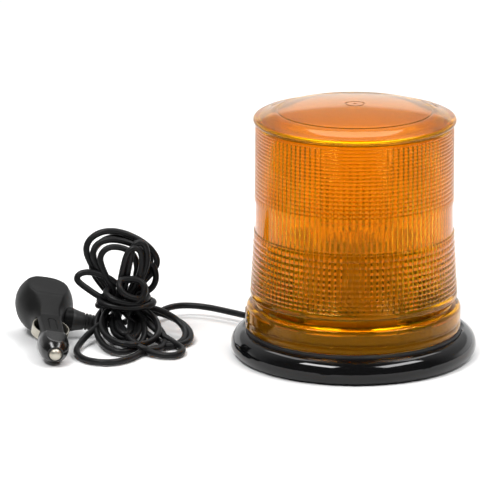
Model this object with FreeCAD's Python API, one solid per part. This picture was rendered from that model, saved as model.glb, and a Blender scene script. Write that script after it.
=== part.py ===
"""Magnetic-mount warning beacon with a flash tube, a bundled supply cord and a 12 V accessory plug.

Frame: millimetres, +Z up along the beacon's axis, origin on the floor at the middle of the base.
The cord leaves the base towards -X, +Y, and the plug lies on the floor on the -X side.
Each piece is one solid, or a group of like solids, written to parts/NAME.step.
"""
import FreeCAD, Part
import math
import os

V = FreeCAD.Vector
ORIGIN = V(0, 0, 0)
UP = V(0, 0, 1)

# ---------------------------------------------------------------- driving sizes
# Magnetic base
BOOT_R = 82.5            # widest radius of the rubber boot
BOOT_FOOT_R = 79.0       # radius of the boot where it meets the floor
BOOT_WIDEST_Z = 7.5      # height of the widest ring
BOOT_FLOOR = 1.6         # rubber under the magnet
BOOT_POCKET_R = 70.3     # radius of the pocket that holds the magnet and plate
MAGNET_R = 56.0
MAGNET_BORE_R = 22.0
MAGNET_T = 10.0
PLATE_T = 1.6            # steel pole plate
FIT_GAP = 0.3            # gap round a piece that drops into a pocket or slides over another

# Base housing
FLOOR_T = 2.4            # housing floor
FLANGE_T = 1.6           # rim that overlaps the boot's lip
FLANGE_R = 72.4
NECK_H = 13.5            # neck above the flange, inside the lens collar
NECK_WALL = 3.0
GASKET_T = 1.0

# Lens
COLLAR_R = 72.0
COLLAR_WALL = 2.6
COLLAR_H = 16.6          # collar foot to shoulder
WAIST_R = 65.8           # where the collar's shoulder meets the lens body
LENS_FOOT_R = 69.8       # widest radius of the lens body
LENS_BAND_R = 67.3       # lens body at the plain band
LENS_TOP_R = 66.4        # lens body under the rim
LENS_WALL = 3.4
BAND_Z = (86.0, 106.0)   # plain band level with the flash tube
BAND_DEPTH = 0.9
BAND_EDGE = 1.2          # sloping edge at each end of the band
RIM_Z = 161.0            # middle of the bead round the lens top
RIM_R = 67.8
RIM_HALF_H = 2.2
CREASE_R = 52.0          # ring on the lens top where the slope meets the dome
CREASE_RISE = 6.4
DOME_RISE = 10.7         # middle of the dome above the rim
LOCK_ANGLE = 186.0       # place of the lock screw round the collar, from +X
LOCK_PAD_W = 13.0
LOCK_PAD_PROUD = 0.9
LOCK_SCREW_R = 1.5
LOCK_HEAD_R = 2.7
LOCK_HEAD_H = 1.5

# Circuit board and what it carries
BOARD_R = 58.0
BOARD_T = 1.6
STANDOFF_H = 9.0
STANDOFF_R = 3.2
STANDOFF_RING_R = 48.0
SCREW_R = 1.5            # M3 screws of the board
SCREW_HEAD_R = 2.8
SCREW_HEAD_H = 2.0
BASE_SCREW_R = 2.0       # M4 screws of the pole plate
BASE_SCREW_HEAD_R = 3.6
BASE_SCREW_HEAD_H = 2.2
BASE_SCREW_RING_R = 62.0
BASE_SCREW_L = 9.0
CAPACITOR_R = 9.0
CAPACITOR_H = 25.0
CAPACITOR_PLACES = ((43.0, 11.0), (43.0, -11.0))
TRANSFORMER_SIZE = (22.0, 20.0, 19.0)
TRANSFORMER_AT = (-43.5, -4.0)
TRIGGER_COIL_R = 6.0
TRIGGER_COIL_H = 12.0
TRIGGER_COIL_AT = (0.0, 42.0)
POWER_CHIP_SIZE = (10.5, 4.6, 15.0)
POWER_CHIP_AT = (14.0, -42.0)
SINK_SIZE = (26.0, 2.0, 20.0)

# Flash tube assembly
FOCUS_Z = 96.0           # middle of the flash tube, level with the plain band
TOWER_R = 27.0
TOWER_TOP_R = 19.0
TOWER_TOP_Z = 70.0
TOWER_WALL = 2.2
TOWER_FLANGE_R = 31.0
TOWER_FLANGE_T = 2.0
DISH_R = 33.0
DISH_RISE = 7.0
DISH_T = 1.0
SOCKET_R = 9.0
SOCKET_H = 8.0
TUBE_COIL_R = 8.5        # helix of the flash tube
TUBE_R = 2.4
TUBE_TURNS = 2.5
TUBE_PITCH = 7.2
TUBE_LEG_R = 1.2         # straight legs
TUBE_LEG_X = 4.2
ENVELOPE_R = 15.0
ENVELOPE_WALL = 1.2
ENVELOPE_RISE = 8.0      # height of its domed top

# Supply cord and its exit
CORD_D = 4.4
EXIT_ANGLE = 140.0       # where the cord leaves the boot, from +X
EXIT_Z = 6.8
GROMMET_R = 3.8
GROMMET_FLANGE_R = 4.6
GROMMET_FLANGE_T = 2.0
GROMMET_OUT = 6.5        # how far the grommet stands out of the boot's widest ring
INNER_RISE_R = 63.0      # radius at which the cord turns up through the plate

# Accessory plug, in its own frame: u runs from the nose tip to the back, w is up
PLUG_TIP_AT = (-199.5, -38.0)   # nose tip on the floor plan
PLUG_YAW = 7.7                  # turn of the plug's axis about +Z, degrees
PLUG_ROLL = 11.0                # turn about its own axis, cord side down, degrees
PLUG_NOSE_R = 10.5
PLUG_BARREL_R = 9.3
PLUG_HANDLE_R = 19.8
PLUG_CLEAR = 0.25               # height of the nose over the floor
PLUG_CAP_L = 20.0
PLUG_CAP_SEAM = 0.2             # gap between the cap and the barrel
PLUG_CAP_FRONT_R = 5.4          # radius of the cap's front end
PLUG_CAP_TAPER = 13.0           # how far back the cap's taper reaches
PLUG_CAP_FLAT = 8.0             # height of the flat on the cap, over the axis
PLUG_BARREL_FLAT = 6.8
PLUG_HANDLE_FLAT = 14.0
PLUG_BARREL_END = 50.0
PLUG_HANDLE_AT = 84.0           # the handle's widest ring, along the plug
PLUG_LENGTH = 100.0
PLUG_WALL = 2.4
SPIGOT_R = 6.5                  # neck over which the cap fits
SPIGOT_FROM = 11.6
TIP_R = 4.2
TIP_OUT = 3.0
TIP_FLANGE_AT = 8.4
TIP_FLANGE_R = 4.9
TIP_FLANGE_T = 1.6
TIP_GAP = 0.25                  # round the tip and its flange
FUSE_R = 3.2
FUSE_L = 30.0
FUSE_CAP_L = 6.0
FUSE_NECK = 0.35                # how far the glass stands in from the end caps
SPRING_R = 3.2
SPRING_L = 12.0
SPRING_WIRE_R = 0.45
SPRING_TURNS = 4
SEAT_R = 6.4
SEAT_T = 1.2
SEAT_TAIL_R = 1.2
SEAT_TAIL_L = 5.0
CONTACT_W = 6.0                 # side spring contact
CONTACT_L = 24.0
CONTACT_T = 0.6
CONTACT_OUT = 2.0
CONTACT_INSET = 0.5             # how far the strip's ends sit outside the barrel's bore
CONTACT_TO_SEAT = 1.1           # how far the strip ends short of the spring's seat
RELIEF_AT = 67.0                # strain relief, along the plug
RELIEF_W = -1.5                 # height of its line over the plug's axis
RELIEF_FROM = 17.5              # where it starts, out from the plug's axis
RELIEF_R = 8.0
RELIEF_TIP_R = 4.4
RELIEF_L = 21.0
RELIEF_ROOT_R = 6.2             # root held in the shell
RELIEF_ROOT_L = 7.0
RELIEF_RIBS = 4
PLUG_SCREW_R = 1.4
PLUG_SCREW_HEAD_R = 2.6
PLUG_SCREW_SEAT = 3.2           # depth of the head's seat
PLUG_SCREWS_AT = (63.0, 91.0)

# Cord route outside the base, hand placed: every run meets the next in one arc
LEAD_TAIL = [
    (-104.0, 83.0, 7.5),
    (-123.0, 84.0, 7.5),
    (-135.0, 69.0, 6.0),
    (-141.0, 51.0, 5.0),
    (-146.0, 41.0, 6.0),
]
LOOP = [
    (-166.0, 29.0, 14.0),
    (-178.0, 19.0, 8.0),
    (-186.0, 3.0, 3.0),
    (-187.0, -15.0, 2.5),
    (-179.5, -31.0, 2.5),
    (-163.5, -37.0, 2.5),
    (-150.0, -27.0, 2.5),
    (-142.0, -10.0, 2.5),
    (-131.0, 1.0, 2.5),
    (-117.0, 4.0, 2.5),
    (-109.0, 17.0, 3.0),
    (-112.0, 33.0, 7.0),
    (-125.0, 43.0, 12.0),
    (-139.0, 42.0, 16.0),
    (-147.0, 33.0, 19.0),
]

# Where the plug's end of the cord enters the bundle
TAIL_IN_BUNDLE = (-152.0, 38.5, 9.0)

# Tied bundle of cord: ellipses (middle x, middle y, z, half width, half depth)
HANK_SECTIONS = [
    (-149.0, 28.0, 0.4, 17.0, 15.0),
    (-149.0, 28.0, 9.0, 23.0, 20.0),
    (-148.0, 28.0, 22.0, 18.0, 15.0),
    (-148.0, 29.0, 37.0, 12.5, 10.5),
    (-153.0, 34.0, 51.0, 23.0, 13.0),
    (-157.0, 38.0, 62.0, 22.0, 11.0),
    (-157.0, 41.0, 71.0, 12.0, 7.0),
]

# ---------------------------------------------------------------- derived sizes
MAGNET_TOP = BOOT_FLOOR + MAGNET_T
PLATE_TOP = MAGNET_TOP + PLATE_T
HOUSING_FLOOR_TOP = PLATE_TOP + FLOOR_T
FLANGE_TOP = HOUSING_FLOOR_TOP + FLANGE_T
COLLAR_FOOT_Z = FLANGE_TOP + GASKET_T
COLLAR_TOP_Z = COLLAR_FOOT_Z + COLLAR_H
COLLAR_IN_R = COLLAR_R - COLLAR_WALL
NECK_R = COLLAR_IN_R - 2 * FIT_GAP
NECK_TOP = FLANGE_TOP + NECK_H
BOARD_Z = HOUSING_FLOOR_TOP + STANDOFF_H
BOARD_TOP = BOARD_Z + BOARD_T
TOP_Z = RIM_Z + DOME_RISE
REST_RISE = PLUG_HANDLE_R - PLUG_NOSE_R      # the plug rests on its cap and on its handle
REST_SPAN = PLUG_HANDLE_AT - PLUG_CAP_TAPER
PLUG_PITCH = math.degrees(math.atan(REST_RISE / REST_SPAN))
PITCH_SIN = math.sin(math.radians(PLUG_PITCH))
PITCH_COS = math.cos(math.radians(PLUG_PITCH))
PLUG_TIP_Z = PLUG_CLEAR + PLUG_NOSE_R * PITCH_COS - PLUG_CAP_TAPER * PITCH_SIN
FUSE_FROM = TIP_FLANGE_AT + TIP_FLANGE_T
SPRING_FROM = FUSE_FROM + FUSE_L
SEAT_FROM = SPRING_FROM + SPRING_L + 0.1
CONTACT_FROM = SEAT_FROM - CONTACT_TO_SEAT - CONTACT_L
CORD_R = CORD_D / 2


# ---------------------------------------------------------------- helpers
def polar(radius, angle, z=0.0):
    """A point at a radius and an angle in degrees round the beacon's axis."""
    a = math.radians(angle)
    return V(radius * math.cos(a), radius * math.sin(a), z)


def polygon_face(points):
    """A plane face with straight sides through the points."""
    return Part.Face(Part.makePolygon([*points, points[0]]))


def turned(points):
    """A solid of revolution about Z from (radius, z) points joined by straight lines."""
    face = polygon_face([V(r, 0, z) for r, z in points])
    return face.revolve(ORIGIN, UP, 360)


def turned_edges(edges):
    """A solid of revolution about Z from edges in the XZ plane."""
    return Part.Face(Part.Wire(edges)).revolve(ORIGIN, UP, 360)


def line(a, b):
    """A straight edge in the XZ plane between two (radius, z) points."""
    return Part.LineSegment(V(a[0], 0, a[1]), V(b[0], 0, b[1])).toShape()


def arc(a, through, b):
    """An arc in the XZ plane through three (radius, z) points."""
    return Part.Arc(V(a[0], 0, a[1]), V(through[0], 0, through[1]), V(b[0], 0, b[1])).toShape()


def cap_arc(edge_r, edge_z, crown_z):
    """A dome's arc from its edge to its crown, with its centre on the axis."""
    rise = crown_z - edge_z
    radius = (edge_r**2 + rise**2) / (2 * rise)
    middle_r = edge_r / 2
    middle_z = crown_z - radius + math.sqrt(radius**2 - middle_r**2)
    return arc((edge_r, edge_z), (middle_r, middle_z), (0, crown_z))


def rod(radius, start, end):
    """A round bar between two points."""
    axis = end - start
    return Part.makeCylinder(radius, axis.Length, start, axis)


def tube(outer, inner, start, end):
    """A round pipe between two points."""
    axis = end - start
    bore = Part.makeCylinder(inner, axis.Length + 2, start - axis.normalize(), axis)
    return rod(outer, start, end).cut(bore)


def block(size, middle_x, middle_y, bottom):
    """An upright box from its sizes, the middle of its plan and its underside."""
    corner = V(middle_x - size[0] / 2, middle_y - size[1] / 2, bottom)
    return Part.makeBox(size[0], size[1], size[2], corner)


def ring_places(radius, count, first_angle, z=0.0):
    """Evenly spaced points on a circle round the beacon's axis."""
    return [polar(radius, first_angle + 360.0 * k / count, z) for k in range(count)]


def save(shape, name):
    """Write a piece to its own STEP file and print what it holds."""
    solids = shape.Solids
    if not solids or not all(s.isValid() for s in solids):
        raise ValueError(name + " is not a valid solid")
    piece = solids[0] if len(solids) == 1 else Part.Compound(solids)
    piece.exportStep(os.path.join("parts", name + ".step"))
    print(f"{name}: {len(solids)} solid, {piece.Volume:.1f} mm3")


# ---------------------------------------------------------------- cord helpers
def cord_path(points):
    """A wire of straight runs joined by tangent arcs, and the smallest arc radius."""
    pts = [V(*p) for p in points]
    edges = []
    at = pts[0]
    smallest = None
    for before, corner, after in zip(pts, pts[1:], pts[2:]):
        run_in = corner - before
        run_out = after - corner
        half_turn = run_in.getAngle(run_out) / 2
        setback = 0.45 * min(run_in.Length, run_out.Length)
        radius = setback / math.tan(half_turn)
        start = corner - V(run_in).normalize() * setback
        end = corner + V(run_out).normalize() * setback
        inward = (V(run_out).normalize() - V(run_in).normalize()).normalize()
        middle = corner + inward * (radius / math.cos(half_turn) - radius)
        edges.append(Part.LineSegment(at, start).toShape())
        edges.append(Part.Arc(start, middle, end).toShape())
        at = end
        smallest = radius if smallest is None else min(smallest, radius)
        print(f"  turn {math.degrees(2 * half_turn):5.1f} deg, arc radius {radius:6.1f} mm")
    edges.append(Part.LineSegment(at, pts[-1]).toShape())
    return Part.Wire(edges), smallest


def cord_tube(points, name):
    """A round cord swept along the path of its points."""
    print(f"{name}: {len(points)} points")
    path, smallest = cord_path(points)
    first = V(*points[1]) - V(*points[0])
    section = Part.Wire(Part.makeCircle(CORD_R, V(*points[0]), first))
    solid = path.makePipeShell([section], True, False)
    expected = math.pi * CORD_R**2 * path.Length
    print(
        f"  length {path.Length:.1f} mm, smallest radius {smallest:.1f} mm,"
        f" volume {solid.Volume:.0f} of {expected:.0f} mm3"
    )
    return solid


# ---------------------------------------------------------------- magnetic base
def exit_axis(radius):
    """A point on the line along which the cord leaves the base."""
    return polar(radius, EXIT_ANGLE, EXIT_Z)


def boot_lip_z():
    """Height of the boot's lip, under the housing's flange."""
    return HOUSING_FLOOR_TOP


def rubber_boot():
    """Bulging rubber ring with a thin floor, in one moulding."""
    lip = boot_lip_z()
    lip_r = FLANGE_R + 1.6
    crown = (lip_r, lip + 0.6)
    widest = (BOOT_R, BOOT_WIDEST_Z)
    upper = ((crown[0] + widest[0]) / 2 + 1.5, (crown[1] + widest[1]) / 2 + 1.6)
    foot = (BOOT_FOOT_R, 0.0)
    lower = ((widest[0] + foot[0]) / 2 + 0.9, (widest[1] + foot[1]) / 2 - 1.2)
    edges = [
        line((0, 0), foot),
        arc(foot, lower, widest),
        arc(widest, upper, crown),
        line(crown, (FLANGE_R + FIT_GAP, lip)),
        line((FLANGE_R + FIT_GAP, lip), (BOOT_POCKET_R, lip)),
        line((BOOT_POCKET_R, lip), (BOOT_POCKET_R, BOOT_FLOOR)),
        line((BOOT_POCKET_R, BOOT_FLOOR), (0, BOOT_FLOOR)),
        line((0, BOOT_FLOOR), (0, 0)),
    ]
    hole = rod(GROMMET_R, exit_axis(BOOT_POCKET_R - 4), exit_axis(BOOT_R + 4))
    return turned_edges(edges).cut(hole)


def magnet_ring():
    """Ferrite ring magnet with small chamfers."""
    c = 1.0
    return turned([
        (MAGNET_BORE_R, BOOT_FLOOR + c),
        (MAGNET_BORE_R + c, BOOT_FLOOR),
        (MAGNET_R - c, BOOT_FLOOR),
        (MAGNET_R, BOOT_FLOOR + c),
        (MAGNET_R, MAGNET_TOP),
        (MAGNET_BORE_R, MAGNET_TOP),
    ])


def base_screw_places(z):
    """The four pole-plate screws."""
    return ring_places(BASE_SCREW_RING_R, 4, 5.0, z)


def inner_riser(radius, low, high):
    """A vertical bar where the cord passes up through the plate and the floor."""
    at = polar(INNER_RISE_R, EXIT_ANGLE)
    return rod(radius, at + V(0, 0, low), at + V(0, 0, high))


def pole_plate():
    """Steel plate behind the magnet, with screw holes and the cord's hole."""
    plate = Part.makeCylinder(BOOT_POCKET_R - FIT_GAP, PLATE_T, V(0, 0, MAGNET_TOP))
    plate = plate.cut(Part.makeCylinder(MAGNET_BORE_R / 2, PLATE_T, V(0, 0, MAGNET_TOP)))
    for at in base_screw_places(MAGNET_TOP - 1):
        plate = plate.cut(rod(BASE_SCREW_R + 0.3, at, at + V(0, 0, PLATE_T + 2)))
    return plate.cut(inner_riser(CORD_R + 0.8, MAGNET_TOP - 1, PLATE_TOP + 1))


def base_screws():
    """Pan-head screws from below, through the plate into the housing's bosses."""
    screws = []
    for at in base_screw_places(MAGNET_TOP):
        head = rod(BASE_SCREW_HEAD_R, at - V(0, 0, BASE_SCREW_HEAD_H), at)
        head = head.makeChamfer(0.6, [head.Edges[2]])
        shank = rod(BASE_SCREW_R, at - V(0, 0, 0.5), at + V(0, 0, BASE_SCREW_L))
        slot = Part.makeBox(0.9, 5.0, 1.0, at + V(-0.45, -2.5, -BASE_SCREW_HEAD_H))
        screws.append(head.fuse(shank).cut(slot).removeSplitter())
    return Part.Compound(screws)


def base_housing():
    """Black moulding: floor, flange, neck, screw bosses and standoff bosses."""
    body = turned([
        (0, PLATE_TOP),
        (BOOT_POCKET_R - FIT_GAP, PLATE_TOP),
        (BOOT_POCKET_R - FIT_GAP, HOUSING_FLOOR_TOP),
        (FLANGE_R, HOUSING_FLOOR_TOP),
        (FLANGE_R, FLANGE_TOP),
        (NECK_R, FLANGE_TOP),
        (NECK_R, NECK_TOP - 1.0),
        (NECK_R - 1.0, NECK_TOP),
        (NECK_R - NECK_WALL, NECK_TOP),
        (NECK_R - NECK_WALL, HOUSING_FLOOR_TOP),
        (0, HOUSING_FLOOR_TOP),
    ])
    boss_top = MAGNET_TOP + BASE_SCREW_L + 1.5
    for at in base_screw_places(HOUSING_FLOOR_TOP - 1):
        body = body.fuse(rod(BASE_SCREW_R + 2.0, at, V(at.x, at.y, boss_top)))
    for at in base_screw_places(PLATE_TOP - 1):
        body = body.cut(rod(BASE_SCREW_R + 0.05, at, V(at.x, at.y, MAGNET_TOP + BASE_SCREW_L + 0.3)))
    for at in ring_places(STANDOFF_RING_R, 4, 45.0, PLATE_TOP - 1):
        body = body.cut(rod(SCREW_R + 0.05, at, at + V(0, 0, FLOOR_T + 2)))
    body = body.cut(inner_riser(CORD_R + 0.6, PLATE_TOP - 1, HOUSING_FLOOR_TOP + 1))
    notch = lock_axis_rod(LOCK_SCREW_R + 0.5, NECK_R - NECK_WALL - 2, NECK_R + 2)
    return body.cut(notch).removeSplitter()


def lens_gasket():
    """Flat sealing ring under the lens collar."""
    outer = Part.makeCylinder(COLLAR_R - 0.2, GASKET_T, V(0, 0, FLANGE_TOP))
    return outer.cut(Part.makeCylinder(NECK_R + 0.1, GASKET_T, V(0, 0, FLANGE_TOP)))


# ---------------------------------------------------------------- lens
def lock_axis_z():
    """Height of the lock screw, half way up the collar."""
    return COLLAR_FOOT_Z + 0.42 * COLLAR_H


def lock_axis_rod(radius, inner, outer):
    """A radial bar on the lock screw's line."""
    z = lock_axis_z()
    return rod(radius, polar(inner, LOCK_ANGLE, z), polar(outer, LOCK_ANGLE, z))


def lens_outline():
    """Outer profile of the lens from the collar's foot to the crown, as (radius, z)."""
    low, high = BAND_Z
    shoulder = COLLAR_TOP_Z - 2.4
    return [
        (COLLAR_R, COLLAR_FOOT_Z),
        (COLLAR_R, shoulder),
        (COLLAR_R - 1.2, COLLAR_TOP_Z - 0.8),
        (COLLAR_R - 3.4, COLLAR_TOP_Z),
        (WAIST_R, COLLAR_TOP_Z),
        (WAIST_R, COLLAR_TOP_Z + 1.6),
        (LENS_FOOT_R, COLLAR_TOP_Z + 6.4),
        (LENS_BAND_R, low - BAND_EDGE),
        (LENS_BAND_R - BAND_DEPTH, low),
        (LENS_BAND_R - BAND_DEPTH - 0.3, high),
        (LENS_BAND_R - 0.4, high + BAND_EDGE),
        (LENS_TOP_R, RIM_Z - RIM_HALF_H - 1.0),
        (RIM_R, RIM_Z - RIM_HALF_H + 0.6),
        (RIM_R, RIM_Z + RIM_HALF_H - 1.2),
        (RIM_R - 2.2, RIM_Z + RIM_HALF_H),
        (CREASE_R, RIM_Z + CREASE_RISE),
    ]


def lens():
    """Amber lens: collar, body, rim bead and shallow dome in one moulding."""
    outer = lens_outline()
    crown = (0, TOP_Z)
    inner_crown = (0, TOP_Z - LENS_WALL)
    inner_crease = (CREASE_R, RIM_Z + CREASE_RISE - LENS_WALL)
    ceiling = RIM_Z - LENS_WALL + 1.0
    inner_top_r = LENS_TOP_R - LENS_WALL
    inner_foot_r = LENS_FOOT_R - LENS_WALL - 1.4
    inner = [
        inner_crease,
        (inner_top_r, ceiling),
        (inner_foot_r, COLLAR_TOP_Z + 6.4),
        (WAIST_R - LENS_WALL, COLLAR_TOP_Z + 1.6),
        (WAIST_R - LENS_WALL, COLLAR_TOP_Z - COLLAR_WALL),
        (COLLAR_IN_R, COLLAR_TOP_Z - COLLAR_WALL),
        (COLLAR_IN_R, COLLAR_FOOT_Z),
    ]
    edges = [line(a, b) for a, b in zip(outer, outer[1:])]
    edges.append(cap_arc(*outer[-1], crown[1]))
    edges.append(line(crown, inner_crown))
    edges.append(cap_arc(*inner_crease, inner_crown[1]))
    edges += [line(a, b) for a, b in zip(inner, inner[1:])]
    edges.append(line(inner[-1], outer[0]))
    body = turned_edges(edges)
    z = lock_axis_z()
    pad_h = COLLAR_H - 4.0
    pad = Part.makeBox(
        COLLAR_WALL + LOCK_PAD_PROUD, LOCK_PAD_W, pad_h,
        V(COLLAR_IN_R + 0.4, -LOCK_PAD_W / 2, z - pad_h / 2),
    )
    pad.rotate(ORIGIN, UP, LOCK_ANGLE)
    collar_space = Part.makeCylinder(COLLAR_IN_R, COLLAR_H, V(0, 0, COLLAR_FOOT_Z))
    body = body.fuse(pad.cut(collar_space))
    face_r = COLLAR_IN_R + 0.4 + COLLAR_WALL + LOCK_PAD_PROUD
    body = body.cut(lock_axis_rod(LOCK_SCREW_R + 0.05, COLLAR_IN_R - 1, face_r + 1))
    body = body.cut(lock_axis_rod(LOCK_HEAD_R + 0.2, face_r - LOCK_HEAD_H, face_r + 1))
    return body.removeSplitter()


def lens_lock_screw():
    """Short screw in the collar's pad that holds the lens on."""
    face_r = COLLAR_IN_R + 0.4 + COLLAR_WALL + LOCK_PAD_PROUD
    seat = face_r - LOCK_HEAD_H
    head = lock_axis_rod(LOCK_HEAD_R, seat, face_r - 0.1)
    shank = lock_axis_rod(LOCK_SCREW_R, COLLAR_IN_R + 0.1, seat + 0.5)
    cross = Part.makeBox(1.0, 0.8, 3.6, V(face_r - 0.9, -0.4, lock_axis_z() - 1.8))
    cross.rotate(ORIGIN, UP, LOCK_ANGLE)
    return head.fuse(shank).cut(cross).removeSplitter()


# ---------------------------------------------------------------- electronics
def board_screw_places(z):
    """The four screws and standoffs of the circuit board."""
    return ring_places(STANDOFF_RING_R, 4, 45.0, z)


def circuit_board():
    """Round board with screw holes and a notch where the cord comes up."""
    board = Part.makeCylinder(BOARD_R, BOARD_T, V(0, 0, BOARD_Z))
    for at in board_screw_places(BOARD_Z - 1):
        board = board.cut(rod(SCREW_R + 0.2, at, at + V(0, 0, BOARD_T + 2)))
    return board.cut(inner_riser(CORD_R + 6.0, BOARD_Z - 1, BOARD_TOP + 1))


def board_standoffs():
    """Tapped spacers between the housing floor and the board."""
    spacers = []
    for at in board_screw_places(HOUSING_FLOOR_TOP):
        spacers.append(tube(STANDOFF_R, SCREW_R + 0.05, at, at + V(0, 0, STANDOFF_H)))
    return Part.Compound(spacers)


def board_screws():
    """Pan-head screws down through the board into the spacers."""
    screws = []
    for at in board_screw_places(BOARD_TOP):
        head = rod(SCREW_HEAD_R, at, at + V(0, 0, SCREW_HEAD_H))
        shank = rod(SCREW_R, at - V(0, 0, BOARD_T + 6.0), at + V(0, 0, 0.5))
        slot = Part.makeBox(0.8, 4.0, 1.0, at + V(-0.4, -2.0, SCREW_HEAD_H - 0.9))
        screws.append(head.fuse(shank).cut(slot).removeSplitter())
    return Part.Compound(screws)


def storage_capacitors():
    """Upright electrolytic capacitors with a crimp groove."""
    cans = []
    for x, y in CAPACITOR_PLACES:
        at = V(x, y, BOARD_TOP)
        can = rod(CAPACITOR_R, at, at + V(0, 0, CAPACITOR_H))
        groove_at = at + V(0, 0, 3.0)
        groove = tube(CAPACITOR_R + 1, CAPACITOR_R - 0.6, groove_at, groove_at + V(0, 0, 1.4))
        cans.append(can.cut(groove))
    return Part.Compound(cans)


def transformer_core():
    """Ferrite E-core pair: a frame round the winding, with a middle leg."""
    w, d, h = TRANSFORMER_SIZE
    x, y = TRANSFORMER_AT
    frame = block((w, d * 0.5, h), x, y, BOARD_TOP)
    window = block((w * 0.68, d, h * 0.66), x, y, BOARD_TOP + h * 0.17)
    leg = block((w * 0.28, d * 0.5, h), x, y, BOARD_TOP)
    return frame.cut(window).fuse(leg).removeSplitter()


def transformer_winding():
    """Copper winding on the core's middle leg."""
    w, d, h = TRANSFORMER_SIZE
    x, y = TRANSFORMER_AT
    gap = 0.3
    outside = block((w * 0.68 - 2 * gap, d, h * 0.66 - 2 * gap), x, y, BOARD_TOP + h * 0.17 + gap)
    outside = outside.makeFillet(2.0, [e for e in outside.Edges if abs(e.tangentAt(0).z) > 0.9])
    leg = block((w * 0.28 + 2 * gap, d * 0.5 + 2 * gap, h), x, y, BOARD_TOP)
    return outside.cut(leg)


def trigger_coil():
    """Small potted trigger transformer."""
    at = V(*TRIGGER_COIL_AT, BOARD_TOP)
    body = rod(TRIGGER_COIL_R, at, at + V(0, 0, TRIGGER_COIL_H))
    waist_at = at + V(0, 0, 2.5)
    waist = tube(
        TRIGGER_COIL_R + 1, TRIGGER_COIL_R - 1.6, waist_at, waist_at + V(0, 0, TRIGGER_COIL_H - 5)
    )
    return body.cut(waist)


def power_transistor():
    """Flat-tab transistor standing on the board, with its tab hole."""
    w, d, h = POWER_CHIP_SIZE
    x, y = POWER_CHIP_AT
    body = block((w, d, 9.5), x, y, BOARD_TOP + 2.0)
    tab = block((w, 1.3, h), x, y - d / 2 + 0.65, BOARD_TOP + 2.0)
    legs = [block((0.9, 0.6, 2.5), x + k * 2.54, y, BOARD_TOP) for k in (-1, 0, 1)]
    shape = body.fuse([tab, *legs])
    hole_at = V(x, y - d, BOARD_TOP + 2.0 + h - 2.8)
    return shape.cut(rod(1.6, hole_at, hole_at + V(0, 2 * d, 0))).removeSplitter()


def heat_sink():
    """Folded aluminium plate behind the transistor."""
    w, t, h = SINK_SIZE
    x, y = POWER_CHIP_AT
    back = y - POWER_CHIP_SIZE[1] / 2 - t / 2
    plate = block((w, t, h), x, back, BOARD_TOP)
    wings = [block((t, 8.0, h), x + s * (w - t) / 2, back + 4.0 - t / 2, BOARD_TOP) for s in (-1, 1)]
    return plate.fuse(wings).removeSplitter()


# ---------------------------------------------------------------- flash tube
def tube_tower():
    """Hollow tapered post that lifts the flash tube to the lens's focus."""
    foot = BOARD_TOP
    slope = (TOWER_R - TOWER_TOP_R) / (TOWER_TOP_Z - foot)
    deck = TOWER_TOP_Z - TOWER_WALL
    hub_hole = 3.0
    return turned([
        (TOWER_R - TOWER_WALL, foot),
        (TOWER_FLANGE_R, foot),
        (TOWER_FLANGE_R, foot + TOWER_FLANGE_T),
        (TOWER_R - slope * TOWER_FLANGE_T, foot + TOWER_FLANGE_T),
        (TOWER_TOP_R, TOWER_TOP_Z),
        (hub_hole, TOWER_TOP_Z),
        (hub_hole, deck),
        (TOWER_TOP_R - TOWER_WALL, deck),
    ])


def reflector_dish():
    """Bright shallow dish on top of the tower."""
    base = TOWER_TOP_Z
    flat_r = ENVELOPE_R + 2.0
    return turned([
        (SOCKET_R + FIT_GAP, base),
        (flat_r, base),
        (DISH_R, base + DISH_RISE),
        (DISH_R, base + DISH_RISE + DISH_T),
        (flat_r - 0.2, base + DISH_T),
        (SOCKET_R + FIT_GAP, base + DISH_T),
    ])


def tube_socket():
    """Ceramic socket with two pin holes."""
    base = V(0, 0, TOWER_TOP_Z)
    body = rod(SOCKET_R, base, base + V(0, 0, SOCKET_H))
    for side in (-1, 1):
        at = V(side * TUBE_LEG_X, 0, TOWER_TOP_Z + SOCKET_H - 4.0)
        body = body.cut(rod(TUBE_LEG_R + 0.1, at, at + V(0, 0, 5.0)))
    return body


def flash_tube():
    """Helical xenon tube: a coil, a return leg down its middle and two feet in the socket."""
    turns_h = TUBE_TURNS * TUBE_PITCH
    low = FOCUS_Z - turns_h / 2
    high = FOCUS_Z + turns_h / 2
    helix = Part.makeHelix(TUBE_PITCH, turns_h, TUBE_COIL_R)
    helix.translate(V(0, 0, low))
    start = V(TUBE_COIL_R, 0, low)
    section = Part.Wire(Part.makeCircle(TUBE_R, start, V(0, 1, 0)))
    coil = Part.Wire(helix.Edges).makePipeShell([section], True, True)
    foot_z = TOWER_TOP_Z + SOCKET_H - 3.5
    front_bend = V(TUBE_LEG_X, 0, low - 2.0)
    back_bend = V(-TUBE_LEG_X, 0, high + 2.0)
    front = rod(TUBE_LEG_R, V(TUBE_LEG_X, 0, foot_z), front_bend)
    elbow = rod(TUBE_LEG_R, front_bend, start)
    back = rod(TUBE_LEG_R, V(-TUBE_LEG_X, 0, foot_z), back_bend)
    bridge = rod(TUBE_LEG_R, back_bend, V(-TUBE_COIL_R, 0, high))
    return coil.fuse([front, elbow, back, bridge])


def tube_envelope():
    """Clear glass cover over the flash tube."""
    base = TOWER_TOP_Z + DISH_T + 0.02
    top = FOCUS_Z + TUBE_TURNS * TUBE_PITCH / 2 + TUBE_R + 4.0
    inner_r = ENVELOPE_R - ENVELOPE_WALL
    crown = top + ENVELOPE_RISE
    inner_crown = crown - ENVELOPE_WALL
    edges = [
        line((inner_r, base), (ENVELOPE_R, base)),
        line((ENVELOPE_R, base), (ENVELOPE_R, top)),
        cap_arc(ENVELOPE_R, top, crown),
        line((0, crown), (0, inner_crown)),
        cap_arc(inner_r, top, inner_crown),
        line((inner_r, top), (inner_r, base)),
    ]
    return turned_edges(edges)


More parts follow.
